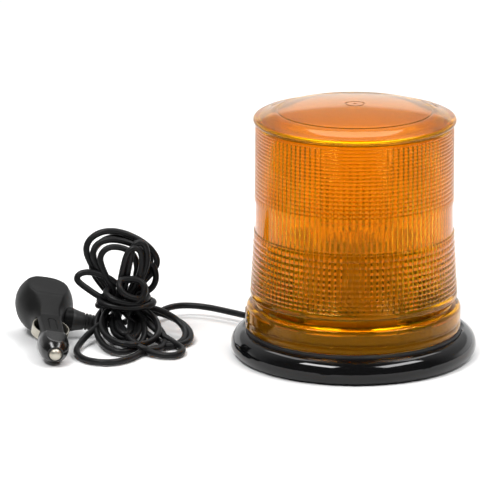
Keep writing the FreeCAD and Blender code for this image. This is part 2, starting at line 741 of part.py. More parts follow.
# ---------------------------------------------------------------- cord exit
def grommet_end():
    """Where the cord comes out of the grommet."""
    return exit_axis(BOOT_R + GROMMET_OUT)


def cable_grommet():
    """Rubber sleeve through the boot's wall, with a collar and a short taper outside."""
    wall = exit_axis(BOOT_POCKET_R - FIT_GAP)
    inside = exit_axis(BOOT_POCKET_R - FIT_GAP - GROMMET_FLANGE_T)
    outside = exit_axis(BOOT_R - 0.5)
    axis = outside - inside
    body = rod(GROMMET_FLANGE_R, inside, wall)
    body = body.fuse(rod(GROMMET_R, wall, outside))
    taper = Part.makeCone(GROMMET_R, CORD_R + 0.7, GROMMET_OUT + 0.5, outside, axis)
    bore = rod(CORD_R, inside - axis.normalize() * 2, grommet_end() + axis)
    return body.fuse(taper).cut(bore).removeSplitter()


def cord_inner():
    """The cord inside the base: from the grommet inwards, then up to the board."""
    start = grommet_end()
    corner = exit_axis(INNER_RISE_R)
    top = V(corner.x, corner.y, BOARD_Z - 0.5)
    bend = 4.6
    inward = (corner - start).normalize()
    arc_start = corner - inward * bend
    arc_end = corner + UP * bend
    centre = arc_start + UP * bend
    middle = centre + (inward - UP).normalize() * bend
    path = Part.Wire([
        Part.LineSegment(start, arc_start).toShape(),
        Part.Arc(arc_start, middle, arc_end).toShape(),
        Part.LineSegment(arc_end, top).toShape(),
    ])
    section = Part.Wire(Part.makeCircle(CORD_R, start, inward))
    return path.makePipeShell([section], True, False)


def cord_lead():
    """The cord from the grommet to the bundle."""
    start = grommet_end()
    axis = (start - exit_axis(0)).normalize()
    first = start + axis * 19.0
    points = [tuple(start), tuple(first), *LEAD_TAIL]
    return cord_tube(points, "cord_lead")


def cord_hank():
    """Outer shape of the tied bundle: a wide foot, a waist and a wide top."""
    wires = []
    for x, y, z, half_w, half_d in HANK_SECTIONS:
        oval = Part.Ellipse(ORIGIN, half_w, half_d).toShape()
        oval.translate(V(x, y, z))
        wires.append(Part.Wire(oval))
    return Part.makeLoft(wires, True, False)


# ---------------------------------------------------------------- plug
def in_place(shape):
    """Move a piece from the plug's own frame to where the plug rests on the floor."""
    shape.rotate(ORIGIN, V(0, 1, 0), PLUG_ROLL)
    shape.rotate(ORIGIN, V(1, 0, 0), PLUG_PITCH)
    shape.rotate(ORIGIN, UP, PLUG_YAW)
    shape.translate(V(PLUG_TIP_AT[0], PLUG_TIP_AT[1], PLUG_TIP_Z))
    return shape


def along(u, side=0.0, w=0.0):
    """A point in the plug's frame: u from the tip, side to the right, w above the nose axis."""
    return V(side, u, w)


def plug_rings():
    """Rings of the plug's body behind the cap: (u, radius)."""
    swell = PLUG_HANDLE_R - PLUG_BARREL_R
    neck = PLUG_HANDLE_AT - PLUG_BARREL_END
    tail = PLUG_LENGTH - PLUG_HANDLE_AT
    return [
        (PLUG_BARREL_END, PLUG_BARREL_R),
        (PLUG_BARREL_END + 0.24 * neck, PLUG_BARREL_R + 0.22 * swell),
        (PLUG_BARREL_END + 0.52 * neck, PLUG_BARREL_R + 0.64 * swell),
        (PLUG_BARREL_END + 0.78 * neck, PLUG_BARREL_R + 0.92 * swell),
        (PLUG_HANDLE_AT, PLUG_HANDLE_R),
        (PLUG_LENGTH - 0.38 * tail, PLUG_HANDLE_R - 0.14 * swell),
        (PLUG_LENGTH, PLUG_HANDLE_R - 0.72 * swell),
    ]


def plug_r_at(u):
    """Radius of the plug's body between two of its rings."""
    rings = plug_rings()
    for (u0, r0), (u1, r1) in zip(rings, rings[1:]):
        if u0 <= u <= u1:
            return r0 + (r1 - r0) * (u - u0) / (u1 - u0)
    raise ValueError("no plug ring there")


def above_flat(height, start, end):
    """A box over a flat of the plug, from one place along it to another."""
    reach = 3 * PLUG_HANDLE_R
    return Part.makeBox(2 * reach, end - start, reach, along(start, -reach, height))


def plug_solid(shrink):
    """The plug's body without its cap, each side moved in by the shrink."""
    wires = []
    rings = plug_rings()
    last = len(rings) - 1
    for k, (u, radius) in enumerate(rings):
        place = u - shrink if k == last else u
        circle = Part.makeCircle(radius - shrink, along(place), V(0, 1, 0))
        wires.append(Part.Wire(circle))
    handle = Part.makeLoft(wires, True, False)
    handle = handle.cut(above_flat(PLUG_HANDLE_FLAT - shrink, PLUG_BARREL_END - 1, PLUG_LENGTH + 1))
    start = PLUG_CAP_L + PLUG_CAP_SEAM + shrink
    barrel = rod(PLUG_BARREL_R - shrink, along(start), along(PLUG_BARREL_END))
    barrel = barrel.cut(above_flat(PLUG_BARREL_FLAT - shrink, 0, PLUG_BARREL_END - 1.5 + shrink))
    return barrel.fuse(handle)


def contact_slots(gap):
    """Boxes for the two side contacts, wider than the contacts by the gap."""
    boxes = []
    for side in (-1, 1):
        size = (PLUG_WALL + 2.4, CONTACT_L + 2 * gap, CONTACT_W + 2 * gap)
        x = side * (PLUG_BARREL_R - PLUG_WALL / 2 - 0.2)
        corner = V(x - size[0] / 2, CONTACT_FROM - gap, -size[2] / 2)
        boxes.append(Part.makeBox(*size, corner))
    return boxes


def relief_axis(distance):
    """A point on the strain relief's line, from the plug's axis towards its right."""
    return along(RELIEF_AT, distance, RELIEF_W)


def plug_shell():
    """The hollow body of the plug, before it is split into halves."""
    inside = plug_solid(PLUG_WALL)
    boss = rod(RELIEF_R + 0.4, relief_axis(0), relief_axis(RELIEF_FROM))
    shell = plug_solid(0.0).fuse(boss).cut(inside)
    spigot = rod(SPIGOT_R, along(SPIGOT_FROM), along(PLUG_CAP_L + PLUG_CAP_SEAM + PLUG_WALL))
    bore = rod(TIP_FLANGE_R + TIP_GAP, along(SPIGOT_FROM - 1), along(CONTACT_FROM))
    shell = shell.fuse(spigot).cut(bore)
    for box in contact_slots(0.4):
        shell = shell.cut(box)
    shell = shell.cut(rod(RELIEF_ROOT_R + 0.3, relief_axis(0), relief_axis(RELIEF_FROM + 1)))
    shell = shell.cut(rod(RELIEF_R + 0.3, relief_axis(RELIEF_FROM), relief_axis(PLUG_HANDLE_R + 1)))
    for u in PLUG_SCREWS_AT:
        under = -plug_r_at(u)
        post = rod(PLUG_SCREW_R + 1.6, along(u, 0, under + 0.8), along(u, 0, plug_top_at(u) - 0.8))
        shell = shell.fuse(post)
    for u in PLUG_SCREWS_AT:
        seat = PLUG_SCREW_SEAT - plug_r_at(u)
        far = along(u, 0, -2 * PLUG_HANDLE_R)
        shell = shell.cut(rod(PLUG_SCREW_R + 0.05, far, along(u, 0, plug_top_at(u) - 3.0)))
        shell = shell.cut(rod(PLUG_SCREW_HEAD_R + 0.2, far, along(u, 0, seat)))
    return shell


def plug_top_at(u):
    """Height of the plug's top over the nose axis."""
    return min(plug_r_at(u), PLUG_HANDLE_FLAT)


def half_space(upper):
    """A big box above or below the split of the plug's halves."""
    reach = 2 * PLUG_LENGTH
    bottom = 0.0 if upper else -reach
    return Part.makeBox(2 * reach, 2 * reach, reach, V(-reach, -PLUG_CAP_L, bottom))


def plug_screws():
    """Two screws that join the halves, from below."""
    screws = []
    for u in PLUG_SCREWS_AT:
        seat = PLUG_SCREW_SEAT - plug_r_at(u)
        head = rod(PLUG_SCREW_HEAD_R, along(u, 0, seat - 1.8), along(u, 0, seat))
        shank = rod(PLUG_SCREW_R, along(u, 0, seat - 0.5), along(u, 0, plug_top_at(u) - 3.5))
        screws.append(head.fuse(shank).removeSplitter())
    return Part.Compound(screws)


def plug_nose_cap():
    """Pushed-on cap with a tapered front and a flat on top, which holds the tip in."""
    mid_u = 0.36 * PLUG_CAP_TAPER
    mid_r = PLUG_CAP_FRONT_R + 0.62 * (PLUG_NOSE_R - PLUG_CAP_FRONT_R)
    front = V(0, 0, PLUG_CAP_FRONT_R)
    shoulder = V(0, PLUG_CAP_TAPER, PLUG_NOSE_R)
    back = V(0, PLUG_CAP_L, PLUG_NOSE_R)
    edges = [
        Part.LineSegment(ORIGIN, front).toShape(),
        Part.Arc(front, V(0, mid_u, mid_r), shoulder).toShape(),
        Part.LineSegment(shoulder, back).toShape(),
        Part.LineSegment(back, V(0, PLUG_CAP_L, 0)).toShape(),
        Part.LineSegment(V(0, PLUG_CAP_L, 0), ORIGIN).toShape(),
    ]
    cap = Part.Face(Part.Wire(edges)).revolve(ORIGIN, V(0, 1, 0), 360)
    cap = cap.cut(above_flat(PLUG_CAP_FLAT, -1, PLUG_CAP_L + 1))
    hole = rod(TIP_R + TIP_GAP, along(-1), along(TIP_FLANGE_AT))
    pocket = rod(TIP_FLANGE_R + TIP_GAP, along(TIP_FLANGE_AT - TIP_GAP), along(SPIGOT_FROM))
    recess = rod(SPIGOT_R + 0.15, along(SPIGOT_FROM - 0.2), along(PLUG_CAP_L + 1))
    return cap.cut(hole).cut(pocket).cut(recess)


def plug_tip():
    """Sprung centre contact with a rounded end and a flange behind the cap."""
    pin = rod(TIP_R, along(-TIP_OUT), along(TIP_FLANGE_AT))
    pin = pin.makeFillet(2.2, [e for e in pin.Edges if e.BoundBox.YMax < -TIP_OUT + 0.01])
    flange = rod(TIP_FLANGE_R, along(TIP_FLANGE_AT), along(FUSE_FROM))
    return pin.fuse(flange).removeSplitter()


def plug_fuse():
    """Glass fuse cartridge with its two metal end caps."""
    glass_from = along(FUSE_FROM + FUSE_CAP_L)
    glass_to = along(SPRING_FROM - FUSE_CAP_L)
    cartridge = rod(FUSE_R, along(FUSE_FROM), along(SPRING_FROM))
    return cartridge.cut(tube(FUSE_R + 1, FUSE_R - FUSE_NECK, glass_from, glass_to))


def tip_spring():
    """Coil spring behind the fuse that pushes it and the tip forwards."""
    height = SPRING_L - 2 * SPRING_WIRE_R
    coil_r = SPRING_R - SPRING_WIRE_R
    helix = Part.makeHelix(height / SPRING_TURNS, height, coil_r)
    section = Part.Wire(Part.makeCircle(SPRING_WIRE_R, V(coil_r, 0, 0), V(0, 1, 0)))
    coil = Part.Wire(helix.Edges).makePipeShell([section], True, True)
    coil.rotate(ORIGIN, V(1, 0, 0), -90)
    coil.translate(along(SPRING_FROM + SPRING_WIRE_R))
    return coil


def spring_seat():
    """Metal disc with a wire tail, which the spring pushes against."""
    plate = rod(SEAT_R, along(SEAT_FROM), along(SEAT_FROM + SEAT_T))
    tail = rod(SEAT_TAIL_R, along(SEAT_FROM + SEAT_T / 2), along(SEAT_FROM + SEAT_T + SEAT_TAIL_L))
    return plate.fuse(tail).removeSplitter()


def side_contact(side):
    """Bowed spring strip in the barrel's side slot."""
    mid = CONTACT_FROM + CONTACT_L / 2
    ends = side * (PLUG_BARREL_R - PLUG_WALL + CONTACT_INSET)
    bow = side * (PLUG_NOSE_R + CONTACT_OUT)
    thick = side * CONTACT_T
    a = V(ends, CONTACT_FROM, 0)
    b = V(ends, CONTACT_FROM + CONTACT_L, 0)
    a2 = V(ends - thick, CONTACT_FROM, 0)
    b2 = V(ends - thick, CONTACT_FROM + CONTACT_L, 0)
    edges = [
        Part.Arc(a, V(bow, mid, 0), b).toShape(),
        Part.LineSegment(b, b2).toShape(),
        Part.Arc(b2, V(bow - thick, mid, 0), a2).toShape(),
        Part.LineSegment(a2, a).toShape(),
    ]
    face = Part.Face(Part.Wire(edges))
    face.translate(V(0, 0, -CONTACT_W / 2))
    return face.extrude(V(0, 0, CONTACT_W))


def strain_relief():
    """Ribbed rubber taper on the plug's side, with its root held in the shell."""
    root = relief_axis(RELIEF_FROM - RELIEF_ROOT_L)
    start = relief_axis(RELIEF_FROM + 0.1)
    end = relief_axis(RELIEF_FROM + RELIEF_L)
    axis = V(1, 0, 0)
    body = Part.makeCone(RELIEF_R, RELIEF_TIP_R, (end - start).Length, start, axis)
    body = body.fuse(rod(RELIEF_ROOT_R, root, start))
    first_rib = RELIEF_L * 0.42
    step = (RELIEF_L - first_rib) / (RELIEF_RIBS + 0.5)
    for k in range(RELIEF_RIBS):
        at = start + axis * (first_rib + k * step)
        body = body.cut(tube(RELIEF_R + 2, RELIEF_TIP_R - 0.4, at, at + axis * (step * 0.45)))
    bore = rod(CORD_R, root - axis, end + axis)
    return body.cut(bore).removeSplitter()


def plug_cord_inner():
    """The cord's end inside the strain relief."""
    root = relief_axis(RELIEF_FROM - RELIEF_ROOT_L - 2.5)
    return rod(CORD_R, root, relief_axis(RELIEF_FROM + RELIEF_L))


def plug_point(point):
    """A point of the plug's frame in the beacon's frame."""
    return in_place(Part.Vertex(point)).Point


def cord_tail():
    """The short stretch from the bundle to the plug's strain relief."""
    end = plug_point(relief_axis(RELIEF_FROM + RELIEF_L))
    before = plug_point(relief_axis(RELIEF_FROM + RELIEF_L + 7.0))
    points = [tuple(end), tuple(before), TAIL_IN_BUNDLE]
    return cord_tube(points, "cord_tail")


# ---------------------------------------------------------------- all pieces
def main():
    os.makedirs("parts", exist_ok=True)
    save(rubber_boot(), "rubber_boot")
    save(magnet_ring(), "magnet_ring")
    save(pole_plate(), "pole_plate")
    save(base_screws(), "base_screws")
    save(base_housing(), "base_housing")
    save(lens_gasket(), "lens_gasket")
    save(lens(), "lens")
    save(lens_lock_screw(), "lens_lock_screw")
    save(circuit_board(), "circuit_board")
    save(board_standoffs(), "board_standoffs")
    save(board_screws(), "board_screws")
    save(storage_capacitors(), "storage_capacitors")
    save(transformer_core(), "transformer_core")
    save(transformer_winding(), "transformer_winding")
    save(trigger_coil(), "trigger_coil")
    save(power_transistor(), "power_transistor")
    save(heat_sink(), "heat_sink")
    save(tube_tower(), "tube_tower")
    save(reflector_dish(), "reflector_dish")
    save(tube_socket(), "tube_socket")
    save(flash_tube(), "flash_tube")
    save(tube_envelope(), "tube_envelope")
    save(cable_grommet(), "cable_grommet")
    save(cord_inner(), "cord_inner")
    save(cord_lead(), "cord_lead")
    save(cord_hank(), "cord_hank")
    save(cord_tube(LOOP, "cord_floor_loop"), "cord_floor_loop")
    save(cord_tail(), "cord_tail")
    shell = plug_shell()
    save(in_place(shell.common(half_space(True))), "plug_shell_upper")
    save(in_place(shell.common(half_space(False))), "plug_shell_lower")
    save(in_place(plug_screws()), "plug_screws")
    save(in_place(plug_nose_cap()), "plug_nose_cap")
    save(in_place(plug_tip()), "plug_tip")
    save(in_place(plug_fuse()), "plug_fuse")
    save(in_place(tip_spring()), "tip_spring")
    save(in_place(spring_seat()), "spring_seat")
    save(in_place(side_contact(-1)), "side_contact_left")
    save(in_place(side_contact(1)), "side_contact_right")
    save(in_place(strain_relief()), "plug_strain_relief")
    save(in_place(plug_cord_inner()), "plug_cord_inner")


main()
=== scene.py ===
"""Magnetic-mount warning beacon: amber ribbed lens, rubber-booted base, tied cord and accessory plug.

Every size is in metres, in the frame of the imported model: +Z up, origin on the floor under the lens.
"""
import math

import bpy
from mathutils import Matrix, Vector


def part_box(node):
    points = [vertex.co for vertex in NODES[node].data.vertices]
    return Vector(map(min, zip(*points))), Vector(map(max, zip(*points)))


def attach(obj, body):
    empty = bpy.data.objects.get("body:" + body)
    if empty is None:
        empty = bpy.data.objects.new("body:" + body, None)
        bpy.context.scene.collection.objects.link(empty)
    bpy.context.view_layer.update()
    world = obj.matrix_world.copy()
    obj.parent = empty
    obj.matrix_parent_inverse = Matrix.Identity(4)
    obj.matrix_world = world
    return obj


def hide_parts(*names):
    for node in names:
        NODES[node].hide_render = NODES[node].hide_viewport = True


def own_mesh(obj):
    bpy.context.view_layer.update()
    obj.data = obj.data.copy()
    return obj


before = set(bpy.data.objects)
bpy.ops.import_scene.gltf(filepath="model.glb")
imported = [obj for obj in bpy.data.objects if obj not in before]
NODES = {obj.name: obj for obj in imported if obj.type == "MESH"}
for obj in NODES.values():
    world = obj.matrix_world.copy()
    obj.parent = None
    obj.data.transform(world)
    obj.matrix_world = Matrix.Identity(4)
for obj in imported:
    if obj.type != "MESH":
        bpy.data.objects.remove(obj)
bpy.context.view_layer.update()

bl_info = {
    "name": "Warning Beacon",
    "version": (1, 0, 0),
    "blender": (4, 5, 0),
    "location": "View3D > Sidebar > Beacon",
    "description": "Models a magnetic-mount warning beacon around its packed frame",
    "category": "Object",
}

MM = 0.001


# ------------------------------------------------------------------ places taken from the frame
def low(node):
    """Lowest corner of a node."""
    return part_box(node)[0]


def high(node):
    """Highest corner of a node."""
    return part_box(node)[1]


LENS_FOOT = low("lens")[2]
LENS_TOP = high("lens")[2]


# ------------------------------------------------------------------ user settings
class BeaconSizes(bpy.types.PropertyGroup):
    """Sizes that a user would change."""

    flute_count: bpy.props.IntProperty(
        name="Flutes", description="Vertical flutes inside the lens", default=110, min=24, max=120
    )
    flute_depth: bpy.props.FloatProperty(
        name="Flute depth", description="How far a flute stands inwards",
        default=0.75 * MM, unit="LENGTH", precision=5,
    )
    ring_depth: bpy.props.FloatProperty(
        name="Ring depth", description="Depth of the rings round the outside of the lens",
        default=0.55 * MM, unit="LENGTH", precision=5,
    )
    upper_rings: bpy.props.IntProperty(
        name="Upper rings", description="Rings above the plain band", default=20, min=4, max=30
    )
    lower_rings: bpy.props.IntProperty(
        name="Lower rings", description="Rings below the plain band", default=12, min=4, max=20
    )
    cord_diameter: bpy.props.FloatProperty(
        name="Cord", description="Diameter of the supply cord",
        default=4.4 * MM, unit="LENGTH", precision=5,
    )
    relief_ribs: bpy.props.IntProperty(
        name="Relief ribs", description="Ribs on the plug's strain relief", default=5, min=2, max=9
    )


class BeaconColours(bpy.types.PropertyGroup):
    """Colours that a user would change."""

    amber: bpy.props.FloatVectorProperty(
        name="Amber", description="Tint of the lens", subtype="COLOR", size=4,
        default=(0.92, 0.42, 0.002, 1.0), min=0.0, max=1.0,
    )
    rubber: bpy.props.FloatVectorProperty(
        name="Rubber", description="Colour of the base's boot", subtype="COLOR", size=4,
        default=(0.003, 0.003, 0.0033, 1.0), min=0.0, max=1.0,
    )
    jacket: bpy.props.FloatVectorProperty(
        name="Cord jacket", description="Colour of the cord", subtype="COLOR", size=4,
        default=(0.006, 0.006, 0.0064, 1.0), min=0.0, max=1.0,
    )
    plug: bpy.props.FloatVectorProperty(
        name="Plug", description="Colour of the plug's body", subtype="COLOR", size=4,
        default=(0.006, 0.006, 0.006, 1.0), min=0.0, max=1.0,
    )
    board: bpy.props.FloatVectorProperty(
        name="Board", description="Colour of the circuit board", subtype="COLOR", size=4,
        default=(0.02, 0.16, 0.06, 1.0), min=0.0, max=1.0,
    )


def sizes():
    """The user's sizes."""
    return bpy.context.scene.beacon_sizes


def colours():
    """The user's colours."""
    return bpy.context.scene.beacon_colours


# ------------------------------------------------------------------ shader expressions
class Value:
    """A shader socket in an expression: sums and products on it add the Math nodes."""

    def __init__(self, finish, socket):
        self.finish = finish
        self.socket = socket

    def _math(self, operation, *values):
        return self.finish.node("ShaderNodeMath", {"operation": operation}, dict(enumerate(values)))

    def __add__(self, other):
        return self._math("ADD", self, other)

    def __radd__(self, other):
        return self._math("ADD", other, self)

    def __sub__(self, other):
        return self._math("SUBTRACT", self, other)

    def __rsub__(self, other):
        return self._math("SUBTRACT", other, self)

    def __mul__(self, other):
        return self._math("MULTIPLY", self, other)

    def __rmul__(self, other):
        return self._math("MULTIPLY", other, self)

    def __gt__(self, other):
        return self._math("GREATER_THAN", self, other)

    def __lt__(self, other):
        return self._math("LESS_THAN", self, other)

    def sine(self):
        return self._math("SINE", self)

    def absolute(self):
        return self._math("ABSOLUTE", self)


class Finish:
    """A material being made: its Principled shader and the nodes that feed it."""

    def __init__(self, name, sockets):
        self.material = bpy.data.materials.new(name)
        self.material.use_nodes = True
        self.tree = self.material.node_tree
        self.shader = self.tree.nodes["Principled BSDF"]
        for label, value in sockets.items():
            self.shader.inputs[label].default_value = value

    def node(self, kind, settings=None, inputs=None, output=0):
        """Adds a node: its settings first, then the values or links of its sockets."""
        made = self.tree.nodes.new(kind)
        for label, value in (settings or {}).items():
            setattr(made, label, value)
        for label, value in (inputs or {}).items():
            if isinstance(value, Value):
                self.tree.links.new(value.socket, made.inputs[label])
            else:
                made.inputs[label].default_value = value
        return Value(self, made.outputs[output])

    def place(self):
        """Position on the piece, in metres."""
        return self.node("ShaderNodeTexCoord", output="Object")

    def axis(self, letter):
        """One coordinate of the position."""
        return self.node("ShaderNodeSeparateXYZ", inputs={"Vector": self.place()}, output=letter)

    def noise(self, scale, detail=2.0, roughness=0.5, stretch=None):
        """Cloudy noise from 0 to 1."""
        where = self.place()
        if stretch:
            where = self.node("ShaderNodeMapping", inputs={"Vector": where, "Scale": stretch})
        return self.node("ShaderNodeTexNoise", inputs={
            "Vector": where, "Scale": scale, "Detail": detail, "Roughness": roughness,
        })

    def range(self, value, low_in, high_in, low_out, high_out):
        """Maps one range of a value to another and clamps it."""
        return self.node("ShaderNodeMapRange", inputs={
            "Value": value, "From Min": low_in, "From Max": high_in,
            "To Min": low_out, "To Max": high_out,
        })

    def mix(self, factor, first, second):
        """A colour between two colours."""
        made = self.tree.nodes.new("ShaderNodeMix")
        made.data_type = "RGBA"
        for label, value in ((0, factor), (6, first), (7, second)):
            if isinstance(value, Value):
                self.tree.links.new(value.socket, made.inputs[label])
            else:
                made.inputs[label].default_value = value
        return Value(self, made.outputs[2])

    def feed(self, label, value):
        """Links a value that changes over the surface to the shader."""
        self.tree.links.new(value.socket, self.shader.inputs[label])

    def bump(self, height, distance, strength=1.0):
        """Raises the surface by the height times the distance in metres."""
        normal = self.node("ShaderNodeBump", inputs={
            "Height": height, "Distance": distance, "Strength": strength,
        })
        self.feed("Normal", normal)


def scaled(colour, factor):
    """A colour made lighter or darker."""
    return (*(min(1.0, c * factor) for c in tuple(colour)[:3]), 1.0)


# ------------------------------------------------------------------ finishes
def amber_lens_finish():
    """Amber polycarbonate, slightly milky, with faint flow marks."""
    tint = colours().amber
    f = Finish("amber_lens", {
        "Base Color": tint, "Transmission Weight": 0.93, "IOR": 1.46, "Roughness": 0.05,
        "Specular Tint": (1.0, 0.6, 0.12, 1.0),
    })
    flow = f.noise(22.0, 3.0, 0.5, stretch=(1.0, 1.0, 0.35))
    f.feed("Base Color", f.mix(flow, scaled(tint, 0.93), tint))
    f.feed("Roughness", f.range(f.noise(60.0, 3.0), 0.35, 0.75, 0.05, 0.09))
    return f.material


def boot_finish():
    """Glossy vinyl rubber with soft ripples and a little dust."""
    tint = colours().rubber
    f = Finish("boot_rubber", {"Base Color": tint, "Roughness": 0.06, "Specular IOR Level": 0.4})
    dust = f.range(f.noise(900.0, 2.0), 0.62, 0.72, 0.0, 1.0)
    cloud = f.range(f.noise(45.0, 3.0), 0.4, 0.7, 0.0, 1.0)
    f.feed("Base Color", f.mix(dust * 0.25, tint, scaled(tint, 5.0)))
    f.feed("Roughness", 0.05 + cloud * 0.03 + dust * 0.15)
    f.bump(f.noise(160.0, 2.0), 0.03 * MM, 0.15)
    return f.material


def moulding_finish(name, tint, roughness=0.42, grain=1400.0, depth=0.03):
    """Moulded plastic with a fine grain and slightly rubbed patches."""
    f = Finish(name, {"Base Color": tint, "Roughness": roughness, "Specular IOR Level": 0.5})
    fine = f.noise(grain, 2.0, 0.6)
    worn = f.range(f.noise(38.0, 4.0), 0.42, 0.68, 0.0, 1.0)
    f.feed("Base Color", f.mix(worn, tint, scaled(tint, 1.35)))
    f.feed("Roughness", roughness - worn * 0.1 + fine * 0.08)
    f.bump(fine, depth * MM, 0.6)
    return f.material


def metal_finish(name, tint, roughness, stretch, scale=260.0):
    """Metal with brushed or turned marks along one direction."""
    f = Finish(name, {"Base Color": tint, "Metallic": 1.0, "Roughness": roughness})
    marks = f.noise(scale, 4.0, 0.6, stretch=stretch)
    stain = f.range(f.noise(70.0, 3.0), 0.4, 0.7, 0.0, 1.0)
    f.feed("Base Color", f.mix(stain * 0.3, tint, scaled(tint, 0.7)))
    f.feed("Roughness", roughness + marks * 0.18)
    f.bump(marks, 0.02 * MM, 0.5)
    return f.material


def ferrite_finish():
    """Sintered ferrite, dark and finely pitted."""
    tint = (0.035, 0.034, 0.036, 1.0)
    f = Finish("ferrite", {"Base Color": tint, "Roughness": 0.6, "Metallic": 0.2})
    pits = f.range(f.noise(1200.0, 2.0), 0.3, 0.5, 0.0, 1.0)
    f.feed("Base Color", f.mix(pits, scaled(tint, 0.5), scaled(tint, 1.3)))
    f.bump(pits, 0.03 * MM)
    return f.material


def board_finish():
    """Green solder mask over copper tracks, with tinned pads."""
    tint = colours().board
    f = Finish("circuit_board", {"Base Color": tint, "Roughness": 0.3})
    cells = f.node("ShaderNodeTexVoronoi", {"distance": "CHEBYCHEV", "feature": "F1"}, {
        "Vector": f.place(), "Scale": 260.0, "Randomness": 0.35,
    })
    edges = f.node("ShaderNodeTexVoronoi", {"feature": "DISTANCE_TO_EDGE"}, {
        "Vector": f.place(), "Scale": 110.0, "Randomness": 0.5,
    })
    tracks = f.range(edges, 0.06, 0.09, 1.0, 0.0)
    pads = cells < 0.12
    mask = f.mix(tracks, tint, scaled(tint, 1.8))
    f.feed("Base Color", f.mix(pads, mask, (0.7, 0.7, 0.68, 1.0)))
    f.feed("Metallic", pads * 0.9)
    f.feed("Roughness", 0.32 + tracks * 0.1)
    f.bump(tracks, 0.06 * MM)
    return f.material


def capacitor_finish():
    """Dark blue shrink sleeve with a pale stripe and a bare metal top."""
    sleeve = (0.012, 0.022, 0.09, 1.0)
    f = Finish("capacitor_sleeve", {"Base Color": sleeve, "Roughness": 0.28})
    top = high("storage_capacitors")[2]
    lid = f.axis("Z") > top - 0.7 * MM
    along_x = f.axis("X")
    stripe = (along_x - high("storage_capacitors")[0] + 1.6 * MM) > 0.0
    striped = f.mix(stripe, sleeve, (0.55, 0.57, 0.6, 1.0))
    f.feed("Base Color", f.mix(lid, striped, (0.72, 0.73, 0.74, 1.0)))
    f.feed("Metallic", lid * 0.95)
    f.feed("Roughness", 0.25 + f.noise(90.0) * 0.15)
    return f.material


def winding_finish():
    """Enamelled copper wire, wound level on level."""
    f = Finish("copper_winding", {"Base Color": (0.55, 0.2, 0.07, 1.0), "Roughness": 0.3})
    wires = ((f.axis("Z") * (2 * math.pi / (0.5 * MM))).sine() + 1.0) * 0.5
    dark = (0.2, 0.06, 0.02, 1.0)
    f.feed("Base Color", f.mix(wires, dark, (0.68, 0.28, 0.1, 1.0)))
    f.feed("Metallic", 0.35 + wires * 0.4)
    f.bump(wires, 0.12 * MM)
    return f.material


def coil_finish():
    """Varnished trigger coil with its fine winding showing."""
    f = Finish("coil_potting", {"Base Color": (0.3, 0.05, 0.02, 1.0), "Roughness": 0.2})
    wires = ((f.axis("Z") * (2 * math.pi / (0.3 * MM))).sine() + 1.0) * 0.5
    f.feed("Base Color", f.mix(wires, (0.12, 0.02, 0.01, 1.0), (0.42, 0.1, 0.03, 1.0)))
    f.feed("Roughness", 0.18 + f.noise(200.0) * 0.2)
    f.bump(wires, 0.05 * MM)
    return f.material


def ceramic_finish():
    """Glazed white ceramic with faint specks."""
    f = Finish("socket_ceramic", {"Base Color": (0.8, 0.78, 0.72, 1.0), "Roughness": 0.22})
    specks = f.range(f.noise(700.0, 2.0), 0.66, 0.7, 0.0, 1.0)
    f.feed("Base Color", f.mix(specks, (0.8, 0.78, 0.72, 1.0), (0.5, 0.44, 0.36, 1.0)))
    f.feed("Roughness", 0.18 + f.noise(120.0) * 0.12)
    return f.material


def glass_finish(name, tint, ior, roughness):
    """Clear glass with a breath of unevenness."""
    f = Finish(name, {"Base Color": tint, "Transmission Weight": 1.0, "IOR": ior})
    f.feed("Roughness", f.range(f.noise(120.0), 0.4, 0.7, roughness, roughness + 0.03))
    return f.material


def fuse_finish():
    """Glass fuse body with nickel end caps."""
    lo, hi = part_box("plug_fuse")
    f = Finish("fuse_glass", {"Base Color": (0.86, 0.9, 0.9, 1.0), "Roughness": 0.12})
    middle = (lo[1] + hi[1]) / 2
    half_glass = (hi[1] - lo[1]) / 2 - 6.0 * MM
    caps = (f.axis("Y") - middle).absolute() > half_glass
    f.feed("Base Color", f.mix(caps, (0.82, 0.87, 0.86, 1.0), (0.72, 0.69, 0.62, 1.0)))
    f.feed("Metallic", caps * 1.0)
    f.feed("Roughness", 0.1 + f.noise(200.0) * 0.15)
    return f.material


def jacket_finish():
    """Satin vinyl cord jacket with small scuffs."""
    tint = colours().jacket
    f = Finish("cord_jacket", {"Base Color": tint, "Roughness": 0.42, "Specular IOR Level": 0.22})
    fine = f.noise(1100.0, 2.0, 0.6)
    scuffs = f.range(f.noise(120.0, 5.0, 0.6), 0.5, 0.72, 0.0, 1.0)
    f.feed("Base Color", f.mix(scuffs, tint, scaled(tint, 2.2)))
    f.feed("Roughness", 0.36 + scuffs * 0.14 + fine * 0.06)
    f.bump(fine, 0.03 * MM, 0.5)
    return f.material


def plug_finish():
    """Satin plug body, very finely grained."""
    tint = colours().plug
    f = Finish("plug_plastic", {"Base Color": tint, "Roughness": 0.34, "Specular IOR Level": 0.1})
    fine = f.noise(1800.0, 2.0, 0.6)
    rubbed = f.range(f.noise(34.0, 4.0), 0.4, 0.7, 0.0, 1.0)
    f.feed("Base Color", f.mix(rubbed, tint, scaled(tint, 1.5)))
    f.feed("Roughness", 0.38 - rubbed * 0.1 + fine * 0.06)
    f.bump(fine, 0.02 * MM, 0.5)
    return f.material


# ------------------------------------------------------------------ modelling helpers
def clear_selection():
    """Leaves edit mode and deselects everything."""
    if bpy.context.mode != "OBJECT":
        bpy.ops.object.mode_set(mode="OBJECT")
    bpy.ops.object.select_all(action="DESELECT")


def make_active(piece):
    """Selects one object alone."""
    clear_selection()
    piece.select_set(True)
    bpy.context.view_layer.objects.active = piece


